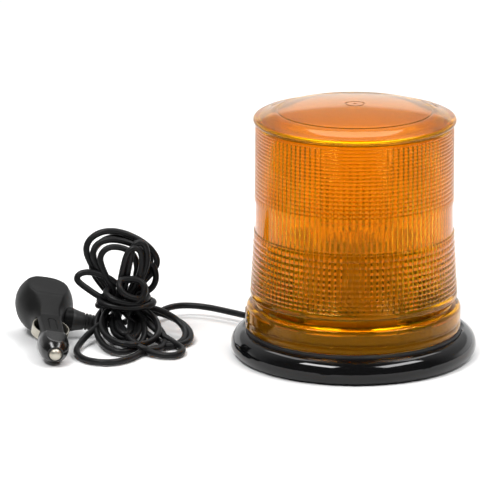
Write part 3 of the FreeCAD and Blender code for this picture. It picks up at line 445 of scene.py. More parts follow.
def drawn_outline(name, points):
    """Draws an outline of (radius, z) points in the XZ plane by extruding one vertex."""
    clear_selection()
    bpy.ops.mesh.primitive_plane_add(size=MM, location=(0, 0, 0))
    piece = bpy.context.active_object
    piece.name = name
    bpy.ops.object.mode_set(mode="EDIT")
    bpy.ops.mesh.merge(type="CENTER")
    bpy.ops.transform.translate(value=(points[0][0], 0, points[0][1]))
    for before, after in zip(points, points[1:]):
        step = (after[0] - before[0], 0, after[1] - before[1])
        bpy.ops.mesh.extrude_region_move(TRANSFORM_OT_translate={"value": step})
    return piece


def turned_piece(name, points, steps, closed=False):
    """Spins an outline of (radius, z) points about Z into a closed mesh."""
    outline = [*points, points[0]] if closed else points
    piece = drawn_outline(name, outline)
    bpy.ops.mesh.select_all(action="SELECT")
    if closed:
        bpy.ops.mesh.remove_doubles(threshold=0.001 * MM)
        bpy.ops.mesh.select_all(action="SELECT")
    bpy.ops.mesh.spin(
        steps=steps, angle=2 * math.pi, use_auto_merge=True, center=(0, 0, 0), axis=(0, 0, 1)
    )
    bpy.ops.mesh.select_all(action="SELECT")
    bpy.ops.mesh.remove_doubles(threshold=0.002 * MM)
    bpy.ops.mesh.normals_make_consistent(inside=False)
    bpy.ops.object.mode_set(mode="OBJECT")
    return piece


def select_vertices(piece, wanted):
    """Enters edit mode with just the vertices selected whose place passes the test."""
    make_active(piece)
    bpy.ops.object.mode_set(mode="EDIT")
    bpy.ops.mesh.select_mode(type="VERT")
    bpy.ops.mesh.select_all(action="DESELECT")
    bpy.ops.object.mode_set(mode="OBJECT")
    for vertex in piece.data.vertices:
        vertex.select = bool(wanted(vertex.co))
    bpy.ops.object.mode_set(mode="EDIT")


def smoothed(piece, degrees=35.0):
    """Smooth shading that breaks at edges sharper than the angle."""
    make_active(piece)
    bpy.ops.object.shade_smooth_by_angle(angle=math.radians(degrees))


def settled(piece):
    """Puts the object back at the origin, with its place in its mesh."""
    make_active(piece)
    bpy.ops.object.transform_apply(location=True, rotation=True, scale=True)


def finished(piece, material, slot, body, *nodes, degrees=35.0):
    """Gives a piece its finish and body, and hides the nodes that it stands for."""
    settled(piece)
    if piece.type == "MESH":
        smoothed(piece, degrees)
    piece.data.materials.clear()
    piece.data.materials.append(material)
    if nodes:
        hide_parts(*nodes)
    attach(piece, body)
    return piece


def repaint(material, *nodes):
    """Gives CAD nodes whose shape is right a better finish."""
    for name in nodes:
        node = NODES[name]
        node.data.materials.clear()
        node.data.materials.append(material)


def refined(name, node, bevel=0.0, segments=2):
    """A merged copy of a CAD node with small rounded edges, for glossy finishes."""
    clear_selection()
    piece = NODES[node].copy()
    piece.data = NODES[node].data.copy()
    piece.name = name
    for key in list(piece.keys()):
        del piece[key]
    piece.parent = None
    bpy.context.scene.collection.objects.link(piece)
    make_active(piece)
    bpy.ops.object.mode_set(mode="EDIT")
    bpy.ops.mesh.select_all(action="SELECT")
    bpy.ops.mesh.remove_doubles(threshold=0.002 * MM)
    bpy.ops.object.mode_set(mode="OBJECT")
    if bevel:
        edge = piece.modifiers.new("edges", "BEVEL")
        edge.width = bevel
        edge.segments = segments
        edge.limit_method = "ANGLE"
        edge.angle_limit = math.radians(50)
        bpy.ops.object.modifier_apply(modifier=edge.name)
    return piece


def arc_points(centre, radius_r, radius_z, start, end, count):
    """(radius, z) points along part of an ellipse, angles in degrees."""
    points = []
    for k in range(count + 1):
        a = math.radians(start + (end - start) * k / count)
        points.append((centre[0] + radius_r * math.cos(a), centre[1] + radius_z * math.sin(a)))
    return points


# ------------------------------------------------------------------ lens
CREASE_R = 52.0 * MM
CREASE_Z = LENS_TOP - 4.3 * MM
RIM_Z = LENS_TOP - 10.7 * MM
BAND_LOW, BAND_HIGH = 86.0 * MM, 106.0 * MM
SHOULDER_Z = LENS_FOOT + 16.6 * MM
WALL = 3.4 * MM


def dome_height(radius, crown, edge_r, edge_z):
    """Height of a shallow spherical dome at a radius."""
    rise = crown - edge_z
    ball = (edge_r**2 + rise**2) / (2 * rise)
    return crown - ball + math.sqrt(ball**2 - radius**2)


def ring_profile(z_from, z_to, r_from, r_to, count, growth, depth):
    """Convex rings one under another: their heights grow from the first to the last."""
    heights = [1 + (growth - 1) * k / (count - 1) for k in range(count)]
    unit = (z_to - z_from) / sum(heights)
    points = []
    z = z_from
    for height in heights:
        for share, dip in ((0.0, 1.0), (0.22, 0.32), (0.5, 0.0), (0.78, 0.32)):
            at = z + unit * height * share
            radius = r_from + (r_to - r_from) * (at - z_from) / (z_to - z_from)
            points.append((radius - depth * dip, at))
        z += unit * height
    return points


def lens_outside():
    """Outer outline from the crown down to the collar's foot."""
    s = sizes()
    dome = [(0.0, LENS_TOP)]
    for r in (0.7, 1.1, 5.6, 6.0, 6.5, 6.9, 12, 18, 24, 30, 36, 42, 47, 50.5):
        z = dome_height(r * MM, LENS_TOP, CREASE_R, CREASE_Z)
        dip = 0.3 * MM if r in (0.7, 6.0, 6.5) else 0.0
        dome.append((r * MM, z - dip))
    crease = [
        (51.6 * MM, CREASE_Z + 0.1 * MM), (52.1 * MM, CREASE_Z - 0.35 * MM),
        (52.8 * MM, CREASE_Z - 0.25 * MM), (57.0 * MM, CREASE_Z - 1.75 * MM),
        (61.5 * MM, CREASE_Z - 3.35 * MM), (64.6 * MM, RIM_Z + 2.3 * MM),
    ]
    bead = arc_points((65.6 * MM, RIM_Z), 2.2 * MM, 2.2 * MM, 78, -62, 7)
    upper = ring_profile(
        RIM_Z - 2.9 * MM, BAND_HIGH + 1.6 * MM, 66.4 * MM, 66.9 * MM,
        s.upper_rings, 1.32, s.ring_depth,
    )
    band = [
        (66.9 * MM, BAND_HIGH + 1.4 * MM), (66.9 * MM, BAND_HIGH + 0.7 * MM),
        (66.1 * MM, BAND_HIGH), (66.2 * MM, (BAND_LOW + BAND_HIGH) / 2),
        (66.4 * MM, BAND_LOW), (67.3 * MM, BAND_LOW - 0.8 * MM), (67.3 * MM, BAND_LOW - 1.6 * MM),
    ]
    lower = ring_profile(
        BAND_LOW - 1.8 * MM, 42.4 * MM, 67.4 * MM, 69.8 * MM,
        s.lower_rings, 0.58, s.ring_depth * 1.25,
    )
    foot = [
        (69.8 * MM, 41.6 * MM), (69.5 * MM, 40.6 * MM), (67.0 * MM, 37.5 * MM),
        (66.1 * MM, 36.4 * MM), (65.8 * MM, 35.8 * MM), (66.2 * MM, SHOULDER_Z + 0.1 * MM),
        (67.4 * MM, SHOULDER_Z),
    ]
    shoulder = arc_points(
        (69.4 * MM, SHOULDER_Z - 2.6 * MM), 2.6 * MM, 2.6 * MM, 80, 0, 6
    )
    collar = [
        (72.0 * MM, z * MM)
        for z in (31.0, 29.6, 28.4, 27.2, 26.0, 24.9)
    ]
    ridge = [(71.7 * MM, 24.4 * MM), (71.3 * MM, 23.9 * MM), (71.3 * MM, 23.1 * MM)]
    skirt = [
        (71.8 * MM, 22.4 * MM), (72.0 * MM, 21.6 * MM), (72.0 * MM, 20.4 * MM),
        (72.0 * MM, 19.2 * MM), (71.6 * MM, LENS_FOOT + 0.3 * MM), (71.0 * MM, LENS_FOOT),
    ]
    return dome + crease + bead + upper + band + lower + foot + shoulder + collar + ridge + skirt


FLUTE_LOW, FLUTE_HIGH = 43.6 * MM, 155.6 * MM


def lens_inside():
    """Inner outline from the collar's foot up to the middle of the ceiling."""
    points = [
        (69.9 * MM, LENS_FOOT), (69.4 * MM, LENS_FOOT + 0.5 * MM), (69.4 * MM, 30.6 * MM),
        (68.4 * MM, SHOULDER_Z - 2.6 * MM), (63.4 * MM, SHOULDER_Z - 2.6 * MM),
        (62.6 * MM, 34.0 * MM), (62.6 * MM, 36.6 * MM), (65.2 * MM, 41.2 * MM),
        (65.2 * MM, FLUTE_LOW - 0.3 * MM), (65.2 * MM, FLUTE_LOW), (64.6 * MM, 70.0 * MM),
        (64.1 * MM, 100.0 * MM), (63.6 * MM, 130.0 * MM), (63.2 * MM, FLUTE_HIGH),
        (63.2 * MM, FLUTE_HIGH + 0.3 * MM), (63.0 * MM, RIM_Z - 2.6 * MM),
        (60.0 * MM, RIM_Z - 0.8 * MM), (CREASE_R, CREASE_Z - WALL),
    ]
    for r in (40, 26, 13):
        points.append((r * MM, dome_height(r * MM, LENS_TOP - WALL, CREASE_R, CREASE_Z - WALL)))
    return [*points, (0.0, LENS_TOP - WALL)]


def column_of(place, columns):
    """Which of the evenly spaced columns a point stands on, counted round Z."""
    turn = math.atan2(place.y, place.x) / (2 * math.pi)
    return round(turn * columns) % columns


def raise_flutes(piece, columns, shares):
    """Moves inner columns towards the axis to make convex flutes."""
    depth = sizes().flute_depth
    for column, share in shares.items():
        def on_flute(co):
            inside = math.hypot(co.x, co.y) < 65.3 * MM
            tall = FLUTE_LOW - 0.05 * MM <= co.z <= FLUTE_HIGH + 0.05 * MM
            return tall and inside and column_of(co, columns) % 4 == column

        select_vertices(piece, on_flute)
        factor = 1 - depth * share / (64.2 * MM)
        bpy.ops.transform.resize(value=(factor, factor, 1), center_override=(0, 0, 0))
    bpy.ops.object.mode_set(mode="OBJECT")


LOCK_ANGLE = math.radians(186.0)
LOCK_Z = LENS_FOOT + 0.42 * 16.6 * MM


def shape_lock_pad(piece):
    """Raises the flat pad on the collar and sinks the screw's seat into it."""
    outward = Vector((math.cos(LOCK_ANGLE), math.sin(LOCK_ANGLE), 0))
    across = Vector((-outward.y, outward.x, 0))

    def on_pad(co):
        outside = co.dot(outward) > 70.4 * MM
        return outside and abs(co.dot(across)) < 6.7 * MM and 19.0 * MM < co.z < 31.2 * MM

    def on_seat(co):
        reach = math.hypot(co.dot(across), co.z - LOCK_Z)
        return co.dot(outward) > 71.4 * MM and reach < 2.9 * MM

    select_vertices(piece, on_pad)
    bpy.ops.transform.translate(value=tuple(outward * 1.1 * MM))
    select_vertices(piece, on_seat)
    bpy.ops.transform.translate(value=tuple(outward * -1.3 * MM))
    bpy.ops.object.mode_set(mode="OBJECT")


def build_lens():
    """The amber lens: rings outside, flutes inside, collar and domed top."""
    columns = sizes().flute_count * 4
    piece = turned_piece("lens_moulding", lens_outside() + lens_inside(), columns)
    raise_flutes(piece, columns, {1: 0.68, 2: 1.0, 3: 0.68})
    shape_lock_pad(piece)
    finished(piece, amber_lens_finish(), "amber_lens", "lens_unit", "lens", degrees=28.0)


# ------------------------------------------------------------------ magnetic base
def build_base():
    """Glossy boot, housing and gasket."""
    boot = refined("boot_moulding", "rubber_boot", bevel=0.35 * MM, segments=3)
    finished(boot, boot_finish(), "boot_rubber", "base", "rubber_boot", degrees=40.0)
    black = (0.014, 0.014, 0.015, 1.0)
    housing = refined("housing_moulding", "base_housing", bevel=0.3 * MM)
    moulded = moulding_finish("black_moulding", black)
    finished(housing, moulded, "black_moulding", "base", "base_housing")
    repaint(moulding_finish("gasket_rubber", (0.02, 0.02, 0.02, 1.0), 0.6), "lens_gasket")
    repaint(ferrite_finish(), "magnet_ring", "transformer_core")
    plate = metal_finish("plated_steel", (0.6, 0.6, 0.57, 1.0), 0.3, (1.0, 0.06, 1.0))
    repaint(plate, "pole_plate")
    screws = metal_finish("screw_steel", (0.58, 0.58, 0.57, 1.0), 0.25, (1.0, 1.0, 0.2))
    repaint(screws, "base_screws", "board_screws", "lens_lock_screw", "plug_screws")


# ------------------------------------------------------------------ electronics
def build_electronics():
    """Finishes for the circuit board and what it carries."""
    repaint(board_finish(), "circuit_board")
    brass = metal_finish("brass_spacer", (0.72, 0.53, 0.22, 1.0), 0.2, (0.3, 0.3, 1.0))
    repaint(brass, "board_standoffs")
    repaint(capacitor_finish(), "storage_capacitors")
    repaint(winding_finish(), "transformer_winding")
    repaint(coil_finish(), "trigger_coil")
    epoxy = moulding_finish("transistor_epoxy", (0.02, 0.02, 0.021, 1.0), 0.35)
    repaint(epoxy, "power_transistor")
    fins = metal_finish("bare_aluminium", (0.76, 0.77, 0.79, 1.0), 0.3, (1.0, 1.0, 0.08))
    repaint(fins, "heat_sink")


def build_flash_tube():
    """Tower, dish, socket, flash tube and its clear cover."""
    tower = refined("tower_moulding", "tube_tower", bevel=0.4 * MM)
    white = (0.72, 0.71, 0.68, 1.0)
    finished(tower, moulding_finish("tower_plastic", white, 0.5), "tower_plastic", "base", "tube_tower")
    dish = refined("dish_pressing", "reflector_dish", bevel=0.2 * MM)
    bright = metal_finish("bright_reflector", (0.86, 0.86, 0.87, 1.0), 0.08, (1.0, 1.0, 1.0), 90.0)
    finished(dish, bright, "bright_reflector", "base", "reflector_dish")
    repaint(ceramic_finish(), "tube_socket")
    tube = refined("flash_tube_glass", "flash_tube")
    clear = glass_finish("tube_glass", (0.95, 0.97, 1.0, 1.0), 1.46, 0.02)
    finished(tube, clear, "tube_glass", "base", "flash_tube")
    cover = refined("tube_cover_glass", "tube_envelope", bevel=0.2 * MM)
    finished(
        cover, glass_finish("cover_glass", (0.96, 0.98, 0.98, 1.0), 1.47, 0.0),
        "cover_glass", "base", "tube_envelope",
    )


# ------------------------------------------------------------------ accessory plug
PLUG_TIP = Vector((-199.5, -38.0, 0.0)) * MM
PLUG_YAW = math.radians(7.7)
PLUG_ROLL = math.radians(11.0)
NOSE_R, BARREL_R, HANDLE_R = 10.5, 9.3, 19.8
CAP_L, CAP_TAPER, BARREL_END, HANDLE_AT, PLUG_LENGTH = 20.0, 13.0, 50.0, 84.0, 100.0
SHELL_WALL = 2.4
FACET_END = 70.0
BARREL_FLAT, HANDLE_FLAT, CAP_FLAT = 6.8, 14.0, 8.0
RELIEF_AT, RELIEF_W = 67.0, -1.5
RELIEF_FROM, RELIEF_L = 17.5, 21.0
RELIEF_END = RELIEF_FROM + RELIEF_L
FLOOR_GAP = 0.25
BOSS_R, CORD_HOLE_R, RELIEF_SEAT_R = 8.4, 6.5, 8.3
SLOT_AT, SLOT_SIZE = (8.0, 39.0), (5.0, 24.8, 6.8)
SCREW_POSTS = ((63.0, -13.8, 9.3), (91.0, -18.4, 12.6))
HORSESHOE = [(-2.6, 27.0), (-2.6, 41.0), (-1.5, 43.6), (1.5, 43.6), (2.6, 41.0), (2.6, 27.0)]
GROOVE_R = 0.62


def plug_matrix():
    """Rests the plug on its cap and its handle: rolled, tipped, turned and moved."""
    pitch = math.atan((HANDLE_R - NOSE_R) / (HANDLE_AT - CAP_TAPER))
    tip_z = FLOOR_GAP + NOSE_R * math.cos(pitch) - CAP_TAPER * math.sin(pitch)
    place = Matrix.Translation(PLUG_TIP + Vector((0, 0, tip_z * MM)))
    turn = Matrix.Rotation(PLUG_YAW, 4, "Z") @ Matrix.Rotation(pitch, 4, "X")
    return place @ turn @ Matrix.Rotation(PLUG_ROLL, 4, "Y")


def curved_rows(rings, steps):
    """A smooth row of (place, radius) points through the rings."""
    rows = []
    ends = [rings[0], *rings, rings[-1]]
    for p0, p1, p2, p3 in zip(ends, ends[1:], ends[2:], ends[3:]):
        for k in range(steps):
            t = k / steps
            rows.append(tuple(
                0.5 * (2 * b + (c - a) * t + (2 * a - 5 * b + 4 * c - d) * t**2
                       + (3 * b - a - 3 * c + d) * t**3)
                for a, b, c, d in zip(p0, p1, p2, p3)
            ))
    rows.append(rings[-1])
    return rows


def shell_rows():
    """Outside rows of the plug's body as (place along it, radius), in mm."""
    swell = HANDLE_R - BARREL_R
    rings = [
        (BARREL_END - 4, BARREL_R), (BARREL_END, BARREL_R + 0.02 * swell), (58.2, BARREL_R + 0.22 * swell),
        (67.7, BARREL_R + 0.64 * swell), (76.5, BARREL_R + 0.92 * swell), (HANDLE_AT, HANDLE_R - 0.02),
        (91.0, HANDLE_R - 0.6), (96.0, HANDLE_R - 2.7), (98.8, HANDLE_R - 5.2), (PLUG_LENGTH - 0.05, 11.2),
    ]
    return curved_rows(rings, 5)


def laid_along(piece):
    """Lays a piece spun about Z along the plug's own axis."""
    make_active(piece)
    piece.matrix_world = Matrix.Rotation(math.radians(-90), 4, "X")
    bpy.ops.object.transform_apply(location=True, rotation=True, scale=True)


def put_in_place(piece):
    """Moves a piece from the plug's own frame to where the plug rests."""
    make_active(piece)
    piece.matrix_world = plug_matrix()
    bpy.ops.object.transform_apply(location=True, rotation=True, scale=True)


def press_facet(piece, start, end, height, wanted):
    """Presses the part of the top between two places along the plug down to a height."""
    pressed_flat(piece, height, lambda co: start * MM < co.y < end * MM and wanted(co))


def pressed_flat(piece, height, wanted):
    """Presses the vertices over a height down to it."""
    select_vertices(piece, lambda co: co.z > height * MM and wanted(co))
    bpy.ops.transform.resize(value=(1, 1, 0), center_override=(0, 0, height * MM))
    bpy.ops.object.mode_set(mode="OBJECT")


def combined(piece, other, operation):
    """Adds or cuts one piece by another, which is used up."""
    make_active(piece)
    change = piece.modifiers.new("combined", "BOOLEAN")
    change.operation = operation
    change.solver = "EXACT"
    change.object = other
    bpy.ops.object.modifier_apply(modifier=change.name)
    make_active(other)
    bpy.ops.object.delete()


def bar_between(radius, start, end, sides=40):
    """A round bar in the plug's frame, to add to a piece or to cut it."""
    clear_selection()
    a, b = Vector(start) * MM, Vector(end) * MM
    bpy.ops.mesh.primitive_cylinder_add(vertices=sides, radius=radius * MM, depth=(b - a).length)
    bar = bpy.context.active_object
    turn = (b - a).to_track_quat("Z", "Y").to_matrix().to_4x4()
    bar.matrix_world = Matrix.Translation((a + b) / 2) @ turn
    bpy.ops.object.transform_apply(location=True, rotation=True, scale=True)
    return bar


def cut_horseshoe(piece):
    """Cuts the horseshoe mark into the barrel's flat with short round bars."""
    for (x0, u0), (x1, u1) in zip(HORSESHOE, HORSESHOE[1:]):
        over = (Vector((x1, u1, 0)) - Vector((x0, u0, 0))).normalized() * 0.23
        a = Vector((x0 + 0.011, u0, BARREL_FLAT + 0.1)) - over
        b = Vector((x1 + 0.011, u1, BARREL_FLAT + 0.1)) + over
        combined(piece, bar_between(GROOVE_R, a, b, 11), "DIFFERENCE")


def build_plug_shell():
    """The plug's hollow body with its flats, slots, boss, screw posts and mark."""
    rows = shell_rows()
    outside = [(0.0, PLUG_LENGTH), (6.0, PLUG_LENGTH)] + [(r, u) for u, r in reversed(rows)]
    barrel = [(BARREL_R, u) for u in (42.0, 38.0, 34.0, 30.0, 26.0, 22.0, 20.8)]
    barrel.append((BARREL_R - 0.4, 20.2))
    neck = [(6.5, 20.2), (6.5, 12.0), (6.2, 11.6), (5.15, 11.6), (5.15, 22.6), (6.9, 22.6)]
    inside = [(max(r - SHELL_WALL, 5.0), u) for u, r in rows if u < PLUG_LENGTH - 3.2]
    back = [(9.0, PLUG_LENGTH - SHELL_WALL), (0.0, PLUG_LENGTH - SHELL_WALL)]
    outline = outside + barrel + neck + inside + back
    piece = turned_piece("plug_body", [(r * MM, z * MM) for r, z in outline], 80)
    laid_along(piece)

    def depth_of(co):
        near = min(rows, key=lambda row: abs(row[0] - co.y / MM))
        return near[1] - math.hypot(co.x, co.z) / MM

    def outer(co):
        return depth_of(co) < 1.0

    def inner(co):
        return not outer(co) and 22.5 * MM < co.y < (PLUG_LENGTH - 2.0) * MM

    for wall, side in ((1.4, inner), (0.0, outer)):
        press_facet(piece, 19.0, BARREL_END + 0.1, BARREL_FLAT - wall, side)
        for (u, _), (v, _) in zip(rows, rows[1:]):
            if v > BARREL_END and u < FACET_END:
                share = min(max((v - BARREL_END) / (FACET_END - BARREL_END), 0.0), 1.0)
                height = BARREL_FLAT + (HANDLE_FLAT - BARREL_FLAT) * share - wall * (1 + 0.7 * share)
                press_facet(piece, v - 0.05, v + 0.05, height, side)
        press_facet(piece, FACET_END + 0.3, PLUG_LENGTH + 1, HANDLE_FLAT - wall * 1.7, side)
    boss = bar_between(BOSS_R, (9.5, RELIEF_AT, RELIEF_W), (RELIEF_FROM, RELIEF_AT, RELIEF_W), 64)
    combined(piece, boss, "UNION")
    hole = bar_between(CORD_HOLE_R, (5.0, RELIEF_AT, RELIEF_W), (22.0, RELIEF_AT, RELIEF_W))
    combined(piece, hole, "DIFFERENCE")
    start, end = (RELIEF_FROM, RELIEF_AT, RELIEF_W), (21.0, RELIEF_AT, RELIEF_W)
    seat = bar_between(RELIEF_SEAT_R, start, end, 64)
    combined(piece, seat, "DIFFERENCE")
    for side in (-1, 1):
        clear_selection()
        bpy.ops.mesh.primitive_cube_add(size=1, location=(side * SLOT_AT[0] * MM, SLOT_AT[1] * MM, 0))
        slot = bpy.context.active_object
        slot.scale = [size * MM for size in SLOT_SIZE]
        settled(slot)
        combined(piece, slot, "DIFFERENCE")
    posts = []
    for u, under, top in SCREW_POSTS:
        opening = bar_between(2.9, (0.017, u + 0.023, -24), (0.017, u + 0.023, under + 3.2), 27)
        combined(piece, opening, "DIFFERENCE")
        seat = under + 3.2
        outline = [
            (2.85, under + 0.9), (3.7, under + 0.9), (3.7, seat + 1.4), (3.0, seat + 1.8), (3.0, top),
            (0.0, top), (0.0, top - 2.5), (1.45, top - 2.5), (1.45, seat), (2.85, seat),
        ]
        post = turned_piece("post", [(r * MM, z * MM) for r, z in outline], 32, closed=True)
        post.location = (0, u * MM, 0)
        posts.append(post)
    cut_horseshoe(piece)
    make_active(piece)
    for post in posts:
        post.select_set(True)
    bpy.ops.object.join()
    put_in_place(piece)
    finished(piece, plug_finish(), "plug_plastic", "base", "plug_shell_upper", "plug_shell_lower")


def build_nose_cap():
    """The tapered cap with its flat and the pocket behind it."""
    taper = curved_rows([(0.0, 5.4), (1.6, 6.6), (4.6, 8.5), (8.6, 9.8), (13.0, NOSE_R)], 4)
    outside = [(r, u) for u, r in taper] + [(NOSE_R, 16.0), (NOSE_R, 19.4), (NOSE_R - 0.5, CAP_L)]
    inside = [(6.65, CAP_L), (6.65, 11.4), (5.15, 11.4), (5.15, 8.15), (4.45, 8.15), (4.45, 0.3),
              (4.75, 0.0)]
    points = [(r * MM, z * MM) for r, z in outside + inside]
    piece = turned_piece("nose_cap_moulding", points, 80, closed=True)
    laid_along(piece)
    pressed_flat(piece, CAP_FLAT, lambda co: math.hypot(co.x, co.z) > 7.0 * MM)
    put_in_place(piece)
    gloss = moulding_finish("plug_cap_plastic", scaled(colours().plug, 0.8), 0.2, 1800.0, 0.01)
    finished(piece, gloss, "plug_cap_plastic", "nose_cap", "plug_nose_cap")


def build_tip():
    """The rounded centre contact."""
    profile = [(0, -3), (1.5, -2.93), (2.6, -2.6), (3.4, -2.0), (4.0, -1.1), (4.2, 0.0), (4.2, 8.4),
               (4.9, 8.45), (4.9, 9.95), (0, 10)]
    piece = turned_piece("tip_contact", [(r * MM, z * MM) for r, z in profile], 64)
    laid_along(piece)
    put_in_place(piece)
    nickel = metal_finish("nickel_contact", (0.5, 0.47, 0.4, 1.0), 0.34, (1.0, 1.0, 1.0), 900.0)
    finished(piece, nickel, "nickel_contact", "tip_unit", "plug_tip")
    repaint(nickel, "spring_seat", "side_contact_left", "side_contact_right")
    repaint(fuse_finish(), "plug_fuse")
    steel = metal_finish("spring_steel", (0.6, 0.6, 0.6, 1.0), 0.22, (1.0, 1.0, 1.0), 700.0)
    spring = refined("tip_spring_coil", "tip_spring")
    finished(spring, steel, "spring_steel", "base", "tip_spring")
    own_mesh(spring)


def build_relief():
    """The ribbed rubber taper that guards the cord."""
    ribs = sizes().relief_ribs
    first, last = 8.8, RELIEF_L - 0.8
    pitch = (last - first) / ribs
    outline = [(2.25, -7.0), (6.2, -7.0), (6.2, 0.1), (7.9, 0.12), (7.95, 0.7), (7.3, 2.6),
               (6.75, 4.6), (6.3, 6.6), (5.9, 8.6)]
    for k in range(ribs):
        radius = 5.8 - 1.3 * k / ribs
        at = first + pitch * k
        outline += [(radius - 1.1, at + 0.08 * pitch), (radius - 1.1, at + 0.36 * pitch),
                    (radius - 0.1, at + 0.46 * pitch), (radius - 0.15, at + pitch)]
    outline += [(4.3, RELIEF_L - 0.4), (3.9, RELIEF_L), (2.25, RELIEF_L)]
    piece = turned_piece("relief_moulding", [(r * MM, z * MM) for r, z in outline], 56, closed=True)
    make_active(piece)
    shift = Vector((RELIEF_FROM, RELIEF_AT, RELIEF_W)) * MM
    piece.matrix_world = Matrix.Translation(shift) @ Matrix.Rotation(math.radians(90), 4, "Y")
    bpy.ops.object.transform_apply(location=True, rotation=True, scale=True)
    put_in_place(piece)
    rubber = moulding_finish("relief_rubber", (0.012, 0.012, 0.012, 1.0), 0.5)
    finished(piece, rubber, "relief_rubber", "base", "plug_strain_relief", degrees=30.0)


# ------------------------------------------------------------------ cord
GROMMET_END = Vector((
    89.0 * MM * math.cos(math.radians(140)), 89.0 * MM * math.sin(math.radians(140)), 6.8 * MM,
))
GROMMET_RUN, RELIEF_RUN = 19.0, 7.0
LEAD = [(-104, 83, 7.5), (-123, 84, 7.5), (-135, 69, 6), (-141, 51, 5), (-146, 41, 6)]
LOOP = [
    (-166, 29, 14), (-178, 19, 8), (-186, 3, 3), (-187, -15, 2.5), (-179.5, -31, 2.5),
    (-163.5, -37, 2.5), (-150, -27, 2.5), (-142, -10, 2.5), (-131, 1, 2.5), (-117, 4, 2.5),
    (-109, 17, 3), (-112, 33, 7), (-125, 43, 12), (-139, 42, 16), (-147, 33, 19),
]
TAIL_IN_BUNDLE = (-152.0, 38.5, 9.0)
# The points above were chosen, in millimetres. The three tables below, for the tied bundle,
# were worked out by separate programs, one of which rounded their corners. They only imitate the
# look of the bundle: many corners are tighter than a real cord's, and turns pass through each other.
# Long turns before the loop on the floor
TURNS_BEFORE_LOOP = [
    [
        (-163.1, 33, 28.9), (-169.2, 34, 37.8), (-176.7, 36, 47.9), (-182.1, 38, 59.4),
        (-179.4, 40, 67.3), (-170.5, 41, 72.6), (-159.6, 42, 72.4), (-148.1, 42, 68.1),
        (-137.9, 42, 61.1), (-131.8, 41, 51.4), (-136.6, 39, 43.5), (-144.1, 36, 36.6),
        (-150.2, 33, 28.9), (-149.8, 34.7, 24), (-147.4, 31.2, 19.1), (-143.9, 23.8, 16),
        (-140.3, 14, 9), (-144, -2.3, 4), (-154.5, -15.3, 3), (-164.7, -10, 3.5), (-172.1, 8.4, 5),
        (-175.3, 24.9, 10), (-172.9, 35.9, 16), (-165.5, 40.7, 21),
    ],
    [
        (-160.3, 28, 30.4), (-165, 29, 38.6), (-169.7, 30, 48.2), (-172.4, 32, 56.8),
        (-166.9, 33, 63.6), (-156.8, 34, 63.3), (-148.6, 34, 58.3), (-146, 33, 48.7), (-148.7, 30, 39),
        (-152.8, 28, 30.4), (-150.5, 42.7, 19), (-141.5, 34.5, 15), (-131.8, 25.9, 9), (-126, 9.4, 4),
        (-131.7, -10.7, 3), (-142.4, -12.6, 5), (-151.4, -2.6, 9), (-157.9, 13.8, 14),
        (-161.2, 33, 19),
    ],
    [
        (-164, 37, 27.1), (-170.7, 38, 34.6), (-177.5, 40, 43.9), (-178.2, 42, 54.7),
        (-173.4, 43, 63.6), (-163.8, 44, 68.3), (-152.9, 44, 66.9), (-142.8, 44, 61.2),
        (-136.6, 43, 53), (-140.1, 41, 43.7), (-146.2, 38, 35.3), (-152.3, 35, 27.6),
        (-150.4, 36.8, 20), (-140.5, 23.4, 14), (-130.8, 12.6, 8), (-120.5, 4.7, 4), (-113.6, -7, 2.6),
        (-119.4, -20.9, 2.6), (-131.6, -18.6, 2.6), (-142.5, -9.3, 4), (-152.4, 7.9, 8),
        (-159.6, 23.4, 14), (-162.4, 33.3, 17.7), (-161.3, 33.5, 24.4),
    ],
    [
        (-156.7, 24, 31.5), (-154, 25, 41.1), (-151.9, 26, 52.1), (-149.8, 27, 63.8),
        (-147.3, 27.6, 67.6), (-143.6, 28, 68.3), (-140.3, 28, 65.6), (-139, 27, 55.4),
        (-143.1, 26, 43.7), (-150, 25, 31.2), (-150.6, 32.3, 24.3), (-149.1, 33.2, 18.1),
        (-146.1, 27.2, 15), (-144.4, 13, 10), (-150.2, 0.4, 6), (-159.5, -4.3, 6), (-167.3, 7.9, 8),
        (-169.1, 24.4, 13), (-168.9, 37.5, 21.6), (-160.5, 38.1, 16.4),
    ],
]
